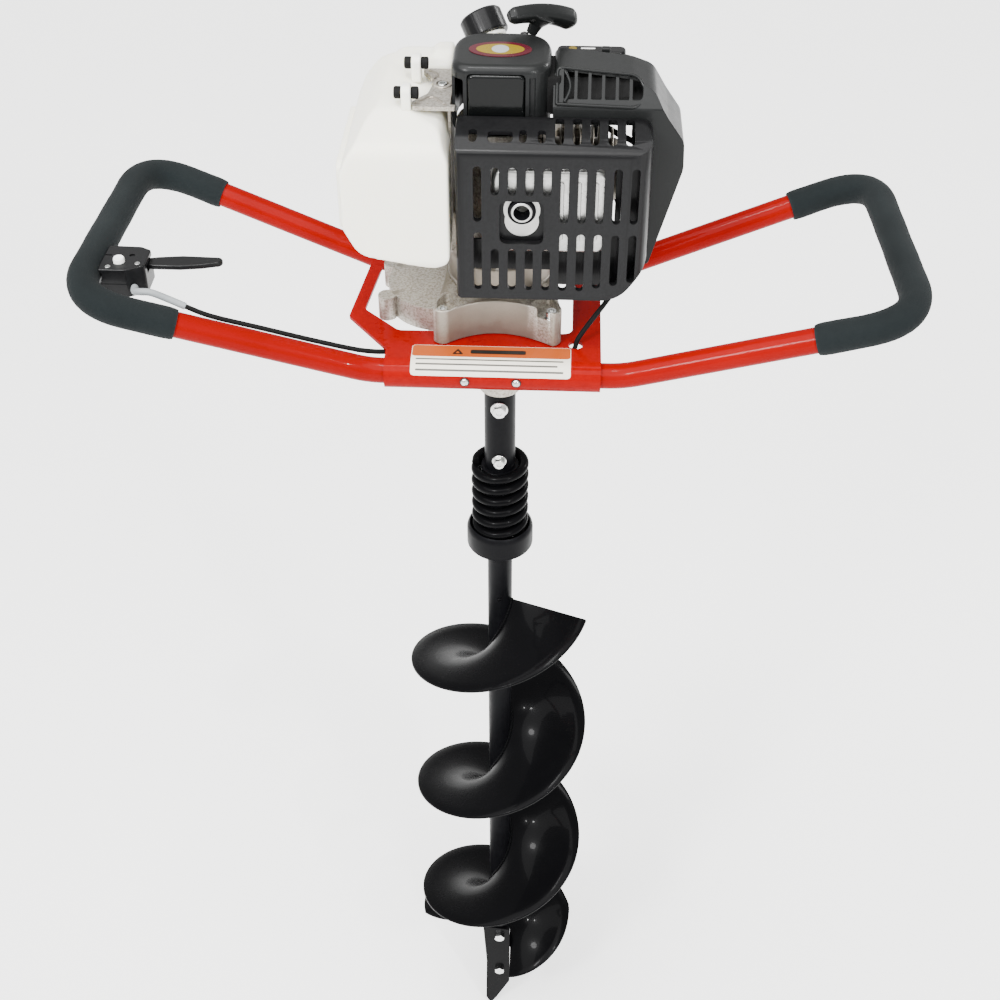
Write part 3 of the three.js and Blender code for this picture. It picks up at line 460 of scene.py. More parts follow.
def fillet(points, radii, steps=6):
    """Rounds an outline's corners; radii is one radius or one for each corner."""
    count = len(points)
    radii = radii if isinstance(radii, (list, tuple)) else [radii] * count
    made = []
    for i, radius in enumerate(radii):
        at = Vector(points[i])
        to_last = Vector(points[i - 1]) - at
        to_next = Vector(points[(i + 1) % count]) - at
        half = to_last.angle(to_next) / 2
        reach = min(radius / math.tan(half), to_last.length * 0.49, to_next.length * 0.49)
        if radius <= 0 or reach < 0.05:
            made.append(tuple(at))
            continue
        first, last = at + to_last.normalized() * reach, at + to_next.normalized() * reach
        made += [tuple(point) for point in bend(first, at, last, steps)]
    return made


def arc(x, y, radius, start, end, steps=10):
    """Points on an arc, in degrees."""
    angles = [math.radians(start + (end - start) * k / steps) for k in range(steps + 1)]
    return [(x + radius * math.cos(a), y + radius * math.sin(a)) for a in angles]


def stadium(x, y0, y1, half, steps=6):
    """A slot outline with round ends."""
    return arc(x, y1 - half, half, 0, 180, steps) + arc(x, y0 + half, half, 180, 360, steps)


def lathe(profile, sides=56, at=(0, 0, 0), axis=(0, 0, 1), flutes=0, flute_depth=0.0):
    """A body turned about an axis from (radius, height) points; a closed loop or axis to axis."""
    bm = bmesh.new()
    loop = profile[0] == profile[-1]
    points = profile[:-1] if loop else profile
    rings = []
    for radius, z in points:
        if radius < 1e-6:
            rings.append([bm.verts.new((0, 0, z))])
            continue
        ring = []
        for k in range(sides):
            a = TAU * k / sides
            r = radius - flute_depth * max(0, math.cos(flutes * a)) ** 3 if flutes else radius
            ring.append(bm.verts.new((r * math.cos(a), r * math.sin(a), z)))
        rings.append(ring)
    count = len(rings)
    for i in range(count if loop else count - 1):
        low, high = rings[i], rings[(i + 1) % count]
        if len(low) == len(high):
            skin(bm, low, high)
            continue
        for k in range(sides):
            j = (k + 1) % sides
            bm.faces.new((low[0], high[j], high[k]) if len(low) == 1 else (low[k], low[j], high[0]))
    return placed(new_object(bm), at, axis)


def post(radius, z0, z1, x=0.0, y=0.0, sides=40, edge=0.0):
    """An upright round bar, its ends chamfered if an edge is given."""
    profile = [(0, z0), (radius - edge, z0), (radius, z0 + edge), (radius, z1 - edge),
               (radius - edge, z1), (0, z1)]
    if not edge:
        profile = [(0, z0), (radius, z0), (radius, z1), (0, z1)]
    return lathe(profile, sides, (x, y, 0))


def rod(radius, span, at, axis, sides=40, edge=0.0):
    return placed(post(radius, -span / 2, span / 2, 0, 0, sides, edge), at, axis)


def hexagon(radius, span, at, axis, edge=0.5, spin=0.0):
    """A hexagon bar with its corners turned off."""
    points = arc(0, 0, radius, 0, 300, 5)
    body = prism(points, -span / 2, span / 2)
    trim = lathe([(0, -span), (radius * 1.2, -span), (radius * 1.2, span / 2 - radius * 0.2 - edge),
                  (radius * 0.86, span / 2), (0, span / 2)], 36)
    return placed(overlap(body, trim), at, axis, spin)


def bent_path(corners, tangents, steps=14):
    """Straight runs through corner points, with a smooth bend at each corner."""
    points = [Vector(corners[0])]
    for i in range(1, len(corners) - 1):
        at, last, following = (Vector(corners[k]) for k in (i, i - 1, i + 1))
        entry = at + (last - at).normalized() * tangents[i - 1]
        leave = at + (following - at).normalized() * tangents[i - 1]
        points += bend(entry, at, leave, steps)
    points.append(Vector(corners[-1]))
    return points


def evenly(points, count, first=0.0, last=1.0):
    """Points spread evenly along a path, from one share of its length to another."""
    marks = [0.0]
    for a, b in zip(points, points[1:]):
        marks.append(marks[-1] + (b - a).length)
    made, k = [], 0
    for i in range(count):
        want = marks[-1] * (first + (last - first) * i / (count - 1))
        while k < len(points) - 2 and marks[k + 1] < want:
            k += 1
        span = marks[k + 1] - marks[k]
        made.append(points[k].lerp(points[k + 1], (want - marks[k]) / span if span else 0))
    return made


def smooth_path(points, count):
    """A smooth curve through given points."""
    pts = [Vector(p) for p in points]
    dense = []
    for i in range(len(pts) - 1):
        a, b, c, d = (pts[max(0, min(len(pts) - 1, i + k))] for k in (-1, 0, 1, 2))
        for s in range(12):
            t = s / 12
            dense.append(0.5 * (2 * b + (c - a) * t + (2 * a - 5 * b + 4 * c - d) * t * t
                                + (3 * b - a - 3 * c + d) * t ** 3))
    dense.append(pts[-1])
    return evenly(dense, count)


def frames(points):
    """Two unit vectors square to a path at each of its points, turning as little as they can."""
    ahead = [(points[min(i + 1, len(points) - 1)] - points[max(i - 1, 0)]).normalized()
             for i in range(len(points))]
    side = ahead[0].orthogonal().normalized()
    made = []
    for i, t in enumerate(ahead):
        if i:
            side = ahead[i - 1].rotation_difference(t) @ side
        side = (side - t * side.dot(t)).normalized()
        made.append((side, t.cross(side)))
    return made


def sweep(points, radius, sides=28, bore=0.0, section=None):
    """A tube along a path. radius is a number or one for each point; bore makes it hollow."""
    bm = bmesh.new()
    radii = radius if isinstance(radius, list) else [radius] * len(points)
    angles = [TAU * k / sides for k in range(sides)]
    unit = section or [(math.cos(a), math.sin(a)) for a in angles]
    rings, inner = [], []
    for at, r, (u, v) in zip(points, radii, frames(points)):
        rings.append([bm.verts.new(at + (u * a + v * b) * r) for a, b in unit])
        if bore:
            inner.append([bm.verts.new(at + (u * a + v * b) * bore) for a, b in unit])
    for wall in (rings, inner):
        for low, high in zip(wall, wall[1:]):
            skin(bm, low, high)
    for end in (0, -1):
        if bore:
            skin(bm, rings[end], inner[end])
        else:
            bm.faces.new(rings[end])
    return new_object(bm)


def roughened(obj, depth, scale):
    """Moves each point a little along its normal, by a smooth noise."""
    for vertex in obj.data.vertices:
        vertex.co += vertex.normal * depth * noise.noise(vertex.co * scale)
    return obj


def give(obj, name, material, *nodes, body="frame", slot=None, angle=38, weighted=True):
    """Hands a finished shape over: metres, smooth shading, finish and body, and hides the CAD nodes it stands
    for.
    """
    slot = slot or SLOTS[material.name]
    obj.name = obj.data.name = name
    obj.data.transform(Matrix.Scale(MM, 4))
    obj.data.shade_smooth()
    obj.data.set_sharp_from_angle(angle=math.radians(angle))
    if weighted:
        modified(obj, "WEIGHTED_NORMAL", keep_sharp=True, mode="FACE_AREA_WITH_ANGLE")
    if obj.data.materials:
        obj.data.materials[0] = material
    else:
        obj.data.materials.append(material)
    if body:
        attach(obj, body)
    if nodes:
        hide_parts(*nodes)
    return obj


# ---------------------------------------------------------------- handle frame
TUBE = Box("handle_tube_right")
PLATE = Box("mount_bracket")
TUBE_R = -TUBE.z0
SLEEVE_R = PLATE.z1
SLEEVE_Y = PLATE.y1 - SLEEVE_R  # how far the tubes' centre lines lie in front of the axis and behind it
SLEEVE_LEFT = -96
PLATE_THICK = 3
GRIP_R = 14.5
GRIP_SHARE = (0.3, 0.7)  # shares of the loop's length where the foam starts and ends
LOOP = [(3, -91, 0), (110, -91, 0), (350, -122.9, 85.4), (341, 121.75, 82.4), (110, 91, 0), (3, 91, 0)]
LOOP_TANGENTS = [13, 50, 50, 13]


def loop_path(side):
    return bent_path([(side * x, y, z) for x, y, z in LOOP], LOOP_TANGENTS)


def make_handles():
    for side, name in ((-1, "left"), (1, "right")):
        path = loop_path(side)
        tube = sweep(evenly(path, 220), TUBE_R, 40, TUBE_R - 2)
        give(tube, f"{name}_handle_tube", RED, f"handle_tube_{name}", weighted=False)
        count = 150
        points = evenly(path, count, *GRIP_SHARE)
        radii = []
        for i in range(count):
            ends = min(i, count - 1 - i)
            swell = 0.12 * math.sin(i * 0.31) + 0.1 * math.sin(i * 0.127 + side)
            radii.append(GRIP_R - 0.9 + swell - (0.9, 0.35, 0.1, 0)[min(ends, 3)])
        grip = sweep(points, radii, 44, TUBE_R + 0.2)
        roughened(grip, 0.16, 0.35)
        give(grip, f"{name}_foam_grip", FOAM, f"grip_{name}", angle=60, weighted=False)


def make_bracket():
    """Plate with a window, its front and back edges rolled into sleeves."""
    right, reach = PLATE.x1, SLEEVE_Y
    outline = fillet([
        (right, -reach), (right, reach), (SLEEVE_LEFT, reach), (SLEEVE_LEFT, 82),
        (-123, 70), (PLATE.x0, -28), (SLEEVE_LEFT, -78), (SLEEVE_LEFT, -reach),
    ], [0, 0, 0, 5, 6, 4, 5, 0])
    window = fillet([(66, -49), (66, 49), (-108, 62), (-113, 56), (-121, -16), (-88, -49)],
                    [9, 9, 5, 5, 7, 9])
    top = SLEEVE_R
    plate = prism(outline, top - PLATE_THICK, top)
    middle, span = (SLEEVE_LEFT + right) / 2, right - SLEEVE_LEFT
    rolls = [rod(SLEEVE_R, span, (middle, s * reach, 0), (1, 0, 0), 64) for s in (-1, 1)]
    bores = [rod(TUBE_R + 0.4, span + 4, (middle, s * reach, 0), (1, 0, 0), 64) for s in (-1, 1)]
    joined(plate, *rolls)
    cut(plate, prism(window, 0, 30), *bores, post(6.2, 0, 30, 69, -66))
    rounded(plate, 0.55)
    give(plate, "handle_bracket", RED, "mount_bracket")


def make_rivets():
    """Domed rivets through the front sleeve, each on a thin dark ring of painted shade, and the same heads
    behind.
    """
    for i in (1, 2):
        head = Box(f"handle_rivet_{i}")
        at = Vector((head.x, -SLEEVE_Y - SLEEVE_R - 0.15, 0))
        dome = [(0, 0), (3.2, 0), (3.4, 0.35), (3.1, 1.1), (2.2, 1.7), (1.1, 1.95), (0, 2)]
        body = lathe(dome, 28, at, (0, -1, 0))
        give(body, f"sleeve_rivet_{i}", ZINC, f"handle_rivet_{i}")
        # a thin dark ring round each head: painted shade where the dome meets the sleeve
        seat = lathe([(3.3, 0), (4.3, 0), (4.2, 0.35), (3.4, 0.35), (3.3, 0)], 28)
        give(placed(seat, at, (0, -1, 0)), f"rivet_shade_ring_{i}", DARK_INK, slot="black_rubber")
        back = lathe(dome, 28, (head.x, SLEEVE_Y + SLEEVE_R, 0), (0, 1, 0))
        give(back, f"rear_rivet_{i}", ZINC)


# ---------------------------------------------------------------- warning label
LABEL_X = (-73, 65)
LABEL_BACK = -71.5  # its rear edge, on the flat of the plate
LABEL_DEEP = 37
LABEL_HEAD = 17  # depth of the coloured heading


def on_sleeve(x, across, lift):
    """A point on the plate, `across` millimetres forward of the label's rear edge."""
    flat = LABEL_BACK + SLEEVE_Y
    if across <= flat:
        return Vector((x, LABEL_BACK - across, SLEEVE_R + lift))
    a = (across - flat) / SLEEVE_R
    r = SLEEVE_R + lift
    return Vector((x, -SLEEVE_Y - r * math.sin(a), r * math.cos(a)))


def decal(name, x0, x1, a0, a1, lift, material, corner=0.0, thick=0.08):
    """A thin patch that follows the plate over its bend."""
    columns, rows = max(2, int((x1 - x0) / 2)), max(2, int((a1 - a0) / 0.75))
    bm = bmesh.new()
    grid = []
    for level in (lift, lift + thick):
        sheet = []
        for i in range(rows + 1):
            across = a0 + (a1 - a0) * i / rows
            inset = 0.0
            near = min(across - a0, a1 - across)
            if near < corner:
                inset = corner - math.sqrt(max(0, corner ** 2 - (corner - near) ** 2))
            sheet.append([bm.verts.new(on_sleeve(
                x0 + inset + (x1 - x0 - 2 * inset) * k / columns, across, level,
            )) for k in range(columns + 1)])
        grid.append(sheet)
    low, high = grid
    for sheet in grid:
        for i in range(rows):
            for k in range(columns):
                bm.faces.new((sheet[i][k], sheet[i][k + 1], sheet[i + 1][k + 1], sheet[i + 1][k]))
    for i in range(rows):
        for k in (0, columns):
            bm.faces.new((low[i][k], low[i + 1][k], high[i + 1][k], high[i][k]))
    for k in range(columns):
        for i in (0, rows):
            bm.faces.new((low[i][k], low[i][k + 1], high[i][k + 1], high[i][k]))
    give(new_object(bm), name, material, weighted=False)


def make_label():
    x0, x1 = LABEL_X
    decal("label_film", x0, x1, 0, LABEL_DEEP, 0.02, PAPER, 3)
    decal("label_heading", x0 + 0.4, x1 - 0.4, 0.4, LABEL_HEAD, 0.1, ORANGE, 2.6)
    for i in range(3):
        across = LABEL_HEAD + 3.2 + i * 5.4
        decal(f"label_line_{i + 1}", x0 + 4, x1 - 6 - 5 * (i % 2), across, across + 1.7, 0.1, GREY_INK, 0.8)
    decal("label_bar", -22, 26, 6, 12, 0.2, DARK_INK, 1.4)
    across = LABEL_BACK - 5
    corners = [(-38, across - 8.2), (-28, across - 8.2), (-33, across)]
    z = SLEEVE_R + 0.2
    give(prism(fillet(corners, 0.9), z, z + 0.1), "label_triangle", DARK_INK)
    inner = [(-34.9, across - 6.8), (-31.1, across - 6.8), (-33, across - 3.4)]
    give(prism(fillet(inner, 0.4), z + 0.12, z + 0.2), "label_triangle_field", ORANGE)


# ---------------------------------------------------------------- gearcase and clutch
CASE = Box("gear_housing")
BOSS_X, BOSS_Y, BOSS_R = 47, 62, 9
LAY_X = -50.4
LOBE_R, LOBE_TOP = 49.5, 37
BORE_R = 9.4  # bearing seats of the countershaft


def star_outline():
    """Four bosses joined by concave walls."""
    starts = [(1, -1, -60), (1, 1, 50), (-1, 1, 120), (-1, -1, 230)]
    middles = [(42, 0), (0, 36), (-42, 0), (0, -36)]
    ends = [arc(sx * BOSS_X, sy * BOSS_Y, BOSS_R, a - 20, a + 90, 9) for sx, sy, a in starts]
    made = []
    for i, (end, middle) in enumerate(zip(ends, middles)):
        made += end
        first, last = Vector(end[-1]), Vector(ends[(i + 1) % 4][0])
        made += [tuple(point) for point in bend(first, Vector(middle), last, 16)[1:-1]]
    return made


def boss_pocket(sx, sy, low, high):
    """Recess round a flange bolt, running in towards the core."""
    points = [(56, 60), (51, 69), (42, 69), (27, 55), (45, 41)]
    outline = fillet([(sx * x, sy * y) for x, y in points], 4)
    return prism(outline, low, high)


def make_gearcase():
    low, top = CASE.z0, CASE.z1
    lobe = post(LOBE_R, low, LOBE_TOP, LAY_X, 0, 96)
    feet = [post(8, low, LOBE_TOP, -99, y, 32) for y in (-27, 27)]
    joined(lobe, *feet)
    rounded(lobe, 2.2, 3)
    star = prism(star_outline(), low, top)
    rounded(star, 1.6, 3)
    core = post(46, low, top, 0, 0, 72)
    body = joined(star, core, lobe)
    tools = [boss_pocket(sx, sy, top - 9, top + 2) for sx in (-1, 1) for sy in (-1, 1)]
    tools += [
        post(45.5, low - 1, 30, LAY_X, 0, 64), post(14, low - 1, 37.7), post(13.4, 37, 46.3),
        post(7, 40, top + 1), post(BORE_R, 29, 35, LAY_X, 0),
    ]
    cut(body, *tools)
    rounded(body, 0.8, 2, 42)
    give(body, "gearcase_upper", CAST, "gear_housing")
    for i, (sx, sy) in enumerate([(-1, -1), (1, -1), (1, 1), (-1, 1)]):
        at = (sx * BOSS_X, sy * BOSS_Y, top - 6)
        washer = post(6.6, top - 9, top - 7.9, at[0], at[1], 32, 0.3)
        bolt = cut(post(5, top - 8, top - 2.4, at[0], at[1], 32, 0.6),
                   hexagon(2.9, 6, (at[0], at[1], top - 1.6), (0, 0, 1)))
        give(merged(washer, bolt), f"flange_bolt_{i + 1}", ZINC)


def make_lower_case():
    case = Box("gear_housing_lower")
    profile = [(0, case.z0), (19.4, case.z0), (20, case.z0 + 0.8), (20, -40), (24, -34), (24, -23),
               (30, -20.5), (46, -20), (48, -17.5), (48, case.z1), (0, case.z1)]
    shell = lathe(profile, 80)
    ribs = spokes(6, 0.3, 18, 44, -1.8, 1.8, -33, -19)
    joined(shell, post(16, case.z0 + 58, case.z1, LAY_X, 0, 48), *ribs)
    cut(shell, post(45.2, -14.5, 20), post(12.5, -14.5, 20, LAY_X, 0), post(BORE_R, -19, -14, LAY_X, 0),
        post(16.1, -27, -14), post(16.1, case.z0 - 1, -67.7), post(12, case.z0 - 1, -14))
    rounded(shell, 0.7, 2, 40)
    give(shell, "gearcase_lower", CAST, "gear_housing_lower")
    seal = [(10.4, case.z0 + 0.6), (15.9, case.z0 + 0.6), (15.9, case.z0 + 4), (12, case.z0 + 4),
            (11.4, case.z0 + 1.6), (10.4, case.z0 + 1.6), (10.4, case.z0 + 0.6)]
    give(lathe(seal, 56), "output_shaft_seal", RUBBER)


def make_clutch_case():
    case = Box("clutch_housing")
    profile = [(41.5, 49.3), (46, 49.3), (46, 52), (45.2, 53), (45.2, 73), (44, 75), (41, 80), (41, 113),
               (40.2, case.z1), (38.5, case.z1), (38.5, 80), (36, 75.5), (12, 75.5), (12, 71.5),
               (41.5, 71.5), (41.5, 49.3)]
    shell = lathe(profile, 96)
    joined(shell, *spokes(10, TAU / 20, 39.6, 44, -1.5, 1.5, 76, 113))
    rounded(shell, 0.6, 2, 40)
    give(shell, "clutch_case", CAST, "clutch_housing")


# ---------------------------------------------------------------- engine block
AXIS_Z = Box("piston").z


def make_block():
    case = Box("crankcase")
    body = post(34, case.z0, 190, 0, 0, 72)
    seat = post(36, 186, case.z1, 0, 0, 72, 0.8)
    flange = post(41, case.z0, 118, 0, 0, 72, 0.8)
    cheek = rounded(block(0, 36, -28, 28, 122, 178), 4, 3, 32)
    ribs = [block(-35.5, 35.5, y - 1.4, y + 1.4, 119, 186) for y in (-18, 0, 18)]
    joined(body, seat, flange, cheek, *ribs)
    cut(body, post(28.5, 124, 176, 0, 0, 48), rod(21, 40, (25, 0, AXIS_Z), (1, 0, 0)),
        post(14.1, 110, 123.1), post(8.7, 110, 200))
    rounded(body, 0.8, 2, 42)
    give(body, "engine_crankcase", CAST, "crankcase")

    profile = [(20.7, 36.3), (30, 36.3), (30, 42), (26, 42)]
    for i in range(10):
        x = 44.5 + i * 5.4
        outer = 37 if i < 8 else 35
        profile += [(26, x), (outer - 0.7, x), (outer, x + 0.7), (outer, x + 1.1), (outer - 0.7, x + 1.8),
                    (26, x + 1.8)]
    profile += [(26, 97), (24, 100), (5.6, 100), (5.6, 93), (20.7, 93), (20.7, 36.3)]
    barrel = lathe(profile, 72, (0, 0, AXIS_Z), (1, 0, 0))
    cut(barrel, rod(7, 30, (64, -30, AXIS_Z), (0, 1, 0)), rod(7, 30, (64, 30, AXIS_Z), (0, 1, 0)))
    give(barrel, "finned_cylinder", CAST, "cylinder")


def make_spark_plug():
    x0 = Box("spark_plug").x0
    shell = [(0, x0), (4.8, x0), (4.8, 100.2), (8.6, 100.4), (9, 101), (9, 105.4), (8, 106.6), (5.6, 107),
             (5.2, 108), (0, 108)]
    give(lathe(shell, 36, (0, 0, AXIS_Z), (1, 0, 0)), "plug_body", ZINC, "spark_plug")
    points = [(0, 107.5), (7.2, 107.5), (7.6, 109), (7.6, 119), (6, 123), (0, 126.5)]
    give(lathe(points, 36, (0, 0, AXIS_Z), (1, 0, 0)), "plug_cap", RUBBER)
    lead = smooth_path([(119, 0, 156), (119, 3, 164), (113, 8, 171), (100, 12, 176), (80, 15, 186),
                        (60, 15, 193), (40, 12, 196)], 60)
    give(sweep(lead, 2.6, 18), "plug_lead", RUBBER, weighted=False)


def make_intake():
    box = Box("carburettor")
    body = rounded(block(box.x0, box.x1, box.y0, box.y1, box.z0, 166), 2.4, 3, 32)
    bowl = rod(11, 6, (59, 50, box.z0 + 4.6), (0, 0, 1), 40, 1.2)
    horn = rod(8, 24, (59, 50, 176), (0, 0, 1), 40, 0.8)
    flanges = [rounded(block(48, 70, 40, 60, z, z + 3, 4), 0.6, 2, 32) for z in (164, 183)]
    shaft = rod(2.2, 30, (59, 50, 158), (1, 0, 0), 20, 0.4)
    joined(body, bowl, horn, *flanges, shaft)
    bulb = Box("primer_bulb")
    cut(body, rod(9.6, 9.6, (bulb.x0, bulb.y, bulb.z), (1, 0, 0), 40))
    give(body, "carburettor_body", CAST, "carburettor")
    dome = [(0, 0), (9, 0), (9, 1.4), (8.2, 1.8)] + [
        (8.2 * math.cos(math.radians(a)), 1.8 + 9 * math.sin(math.radians(a))) for a in range(10, 90, 10)
    ] + [(0, 10.8)]
    give(lathe(dome, 44, (bulb.x0, bulb.y, bulb.z), (1, 0, 0)), "primer_dome", RUBBER, "primer_bulb",
         body="primer_bulb")
    line = smooth_path([(-36, 60, 197), (-30, 66, 176), (-6, 66, 158), (24, 62, 150), (44, 55, 150),
                        (50, 52, 152)], 70)
    give(sweep(line, 2.4, 18), "fuel_line", RUBBER, weighted=False)


# ---------------------------------------------------------------- muffler and its guard
MUFFLER = Box("muffler")
GUARD = Box("muffler_guard")
OUTLET_X = 21
SHELL = 2.5
SLOT_PITCH = 14.1
SLOT_X = -15
SLOT_HALF = 3.3


def make_muffler():
    x0, x1 = MUFFLER.x0, MUFFLER.x1
    z0, z1 = MUFFLER.z0, MUFFLER.z1
    face, back = MUFFLER.y0 + 6, MUFFLER.y1
    outline = fillet(rectangle(x0, x1, z0, z1), 12)
    body = rounded(prism(outline, face, back, "XZ"), 4, 4)
    lip = 1.6  # how far the rolled seam stands out
    wide = fillet(rectangle(x0 - lip, x1 + lip, z0 - lip, z1 + lip), 13)
    seam = rounded(prism(wide, -59, -56.8, "XZ"), 0.7)
    cone = lathe([(0, 0), (17, 0), (16, 1.2), (11, 3.2), (10, 4), (0, 4)], 56,
                 (OUTLET_X, face + 1.2, AXIS_Z), (0, -1, 0))
    pipe = rod(9, 9, (OUTLET_X, MUFFLER.y0 + 4.5, AXIS_Z), (0, 1, 0), 48, 0.7)
    ridges = [rounded(block(x, x + 7, face - 1.4, face + 2, 122, 176, 3, "XZ"), 1) for x in (48, 62, 76)]
    joined(body, seam, cone, pipe, *ridges)
    cut(body, rod(7, 30, (OUTLET_X, face + 4, AXIS_Z), (0, 1, 0), 48))
    rounded(body, 0.4)
    give(body, "muffler_can", SHEET, "muffler")
    ring = lathe([(6.9, 0), (6.4, 0), (5.2, -3), (5.2, -11), (6.9, -11), (6.9, 0)], 44)
    give(placed(ring, (OUTLET_X, MUFFLER.y0 + 0.6, AXIS_Z), (0, -1, 0)), "outlet_liner", SATIN)


def guard_solid(inset, radius):
    """The guard's outer form, smaller by an inset: its front, side and plan outlines crossed."""
    x0, x1 = GUARD.x0 + inset, GUARD.x1 - inset
    low, top = GUARD.z0 + inset, GUARD.z1 - inset
    front = fillet([(x0, low), (101, low), (x1, low + 31), (x1, top), (x0, top)], [3, 30, 24, 12, 3])
    y0 = GUARD.y0 + inset
    side = fillet([(y0, 60), (y0, 203 - inset * 0.6), (-66, 211 - inset), (-41, 217 - inset), (-41, 60)],
                  [0, 7, 14, 0, 0])
    plan = fillet(rectangle(x0, x1, y0, -41), [6, 30, 0, 0], 10)
    body = overlap(prism(front, -90, -41, "XZ"), prism(side, -60, 150, "YZ"))
    return rounded(overlap(body, prism(plan, 50, 230)), radius, 4, 40)


def slot_cutters():
    """Two rows of upright slots with round ends, longer outside the outlet window."""
    cutters = []
    for i in range(10):
        x = SLOT_X + i * SLOT_PITCH
        inner = 1 <= i <= 4
        upper = (166, 191) if inner else (142, 191.5)
        lower = (78, 117) if inner else (78 + max(0, i - 6) * 3, 132)
        for z0, z1 in (upper, lower):
            cutters.append(prism(stadium(x, z0, z1, SLOT_HALF), -95, -68, "XZ"))
    return cutters


def window_block(y0, y1, margin, corner):
    """A block as large as the guard's outlet window, wider all round by a margin."""
    return block(3 - margin, 39 + margin, y0, y1, 122 - margin, 161 + margin, corner, "XZ")


def make_guard():
    shell = guard_solid(0, 4.5)
    hollow = guard_solid(SHELL, 3)
    hollow.data.transform(Matrix.Translation((0, SHELL + 0.3, 0)))
    cut(shell, hollow, block(-30.5, 92, -77.3, -40, 60, 74))
    joined(shell, rounded(window_block(-79.6, -74, 2.6, 8), 1.2, 3))
    cut(shell, merged(*slot_cutters()), window_block(-90, -66, 0, 6.5))
    tops = [prism(stadium(50 + i * SLOT_PITCH, -72, -43, 3.6), 196, 222) for i in range(5)]
    tops += [prism(stadium(x, -71, -58, half), 196, 222) for x, half in ((-19, 3.4), (21, 3.0), (36, 3.2))]
    tops.append(block(-7, 13, -71, -60, 196, 222, 4))
    cut(shell, merged(*tops))
    sides = [prism(fillet([(-66, z), (-54, z + 8), (-54, z + 17), (-66, z + 9)], 1.6), 100, 140, "YZ")
             for z in (90, 111, 132, 153, 174)]
    cut(shell, merged(*sides))
    rounded(shell, 0.7)
    give(shell, "muffler_cover", PLASTIC, "muffler_guard")
    # a black plate behind the outlet window, holed for the cone: painted shade, darkening the inside of the
    # window round the cone
    shade_backing = window_block(-73.4, -72.2, 0.6, 6)
    cut(shade_backing, rod(14, 9, (OUTLET_X, -73, AXIS_Z - 10.5), (0, 1, 0), 56))
    give(rounded(shade_backing, 0.3), "outlet_shade_plate", PLASTIC)
    collar = [(7.1, 0), (7.1, 5.2), (8.2, 6), (10.8, 5.4), (11.6, 4), (11.6, 0), (7.1, 0)]
    give(lathe(collar, 56, (OUTLET_X, -72.6, AXIS_Z), (0, -1, 0)), "outlet_collar", SATIN)
    shield = rounded(block(-28, 96, -50, -48.4, 80, 109, 6, "XZ"), 0.5)
    give(shield, "lower_heat_shield", PLASTIC)
    # a black plate behind the guard's right side: painted shade, a dark sheet where the guard's inside lies
    # in shade
    points = [(46, 70), (100, 70), (122, 92), (122, 200), (97, 200), (97, 118), (46, 118)]
    side_shade_sheet = rounded(prism(fillet(points, [3, 20, 20, 4, 4, 4, 4]), -57, -55.4, "XZ"), 0.5)
    give(side_shade_sheet, "side_shade_plate", PLASTIC)


# ---------------------------------------------------------------- cylinder cover
COVER = Box("engine_cover")
GRILLE_PITCH = 11


def cover_solid(inset, radius):
    x1, top, low = COVER.x1 - inset, COVER.z1 - inset, COVER.z0 - inset * 2
    front = fillet([
        (118, low), (128 - inset, low), (x1, 172), (x1 - 1, 196), (x1 - 15, 216), (125, 236 - inset),
        (108, 242 - inset), (COVER.x0 + inset, top), (COVER.x0 + inset, 205), (108, 205),
    ], [2, 5, 26, 14, 16, 16, 20, 8, 2, 6])
    y0, y1 = COVER.y0 + inset, COVER.y1
    side = fillet([(y0, 70), (y0, 224), (-18, 251 - inset), (y1, 251 - inset), (y1, 70)], [0, 4, 8, 8, 0])
    body = prism(front, -45, 25, "XZ")
    return rounded(overlap(body, prism(side, 30, 160, "YZ")), radius, 4, 40)


def make_cover():
    shell = cover_solid(0, 3.2)
    hollow = cover_solid(SHELL, 2)
    cut(shell, hollow, block(46.5, 108, -50, 30, 196, 210), block(40, 108.5, -38, 30, 204, 212))
    slots = []
    for i in range(6):
        x = 56.5 + i * GRILLE_PITCH
        end = 5.5 if i == 5 else 1.2
        points = fillet(rectangle(x - 4.3, x + 4.3, 229.5, 249), [1.2, end, end, 1.2])
        slots.append(prism(points, -42, -19.5, "XZ"))
    cut(shell, merged(*slots))
    rounded(shell, 0.6)
    give(shell, "cylinder_cover", GREY_PLASTIC, "engine_cover")
    rim_path = [(47, -39.6, 226.8), (47, -19, 248.6), (112, -19, 243), (119, -28, 232), (113, -39.6, 224.6)]
    rim = evenly(bent_path(rim_path + rim_path[:1], [5, 7, 6, 8], 8), 160)
    give(sweep(rim, 1.5, 14), "grille_rim", GREY_PLASTIC, weighted=False)
    crescent = [Vector((53 + 4.5 * math.sin(math.pi * t), -39 + 17 * t, 228.5 + 18.5 * t))
                for t in (k / 20 for k in range(21))]
    give(sweep(crescent, 1.3, 12), "grille_crescent", GREY_PLASTIC, weighted=False)
    # black rubber under the grille slots and in the gap beside the recoil housing: painted shade, a dark
    # sheet where the cover's inside lies in shade
    profile = [(-35, 213), (-35, 219), (-16, 239), (18, 239), (18, 213)]
    liner = prism(profile, 47.5, 108, "YZ")
    joined(liner, block(100, 121, -34, 18, 213, 228), block(37, 50, -29, 14, 214, 244, 3))
    give(rounded(liner, 0.8), "grille_shade_liner", RUBBER)


# ---------------------------------------------------------------- starter
RECOIL = Box("recoil_cover")
FOOT = Vector((24.4, 42.8, 251))  # where the starter handle's neck stands
PULL = Vector((0.45, 0.1, 0.887)).normalized()
GUIDE = FOOT - PULL * 8


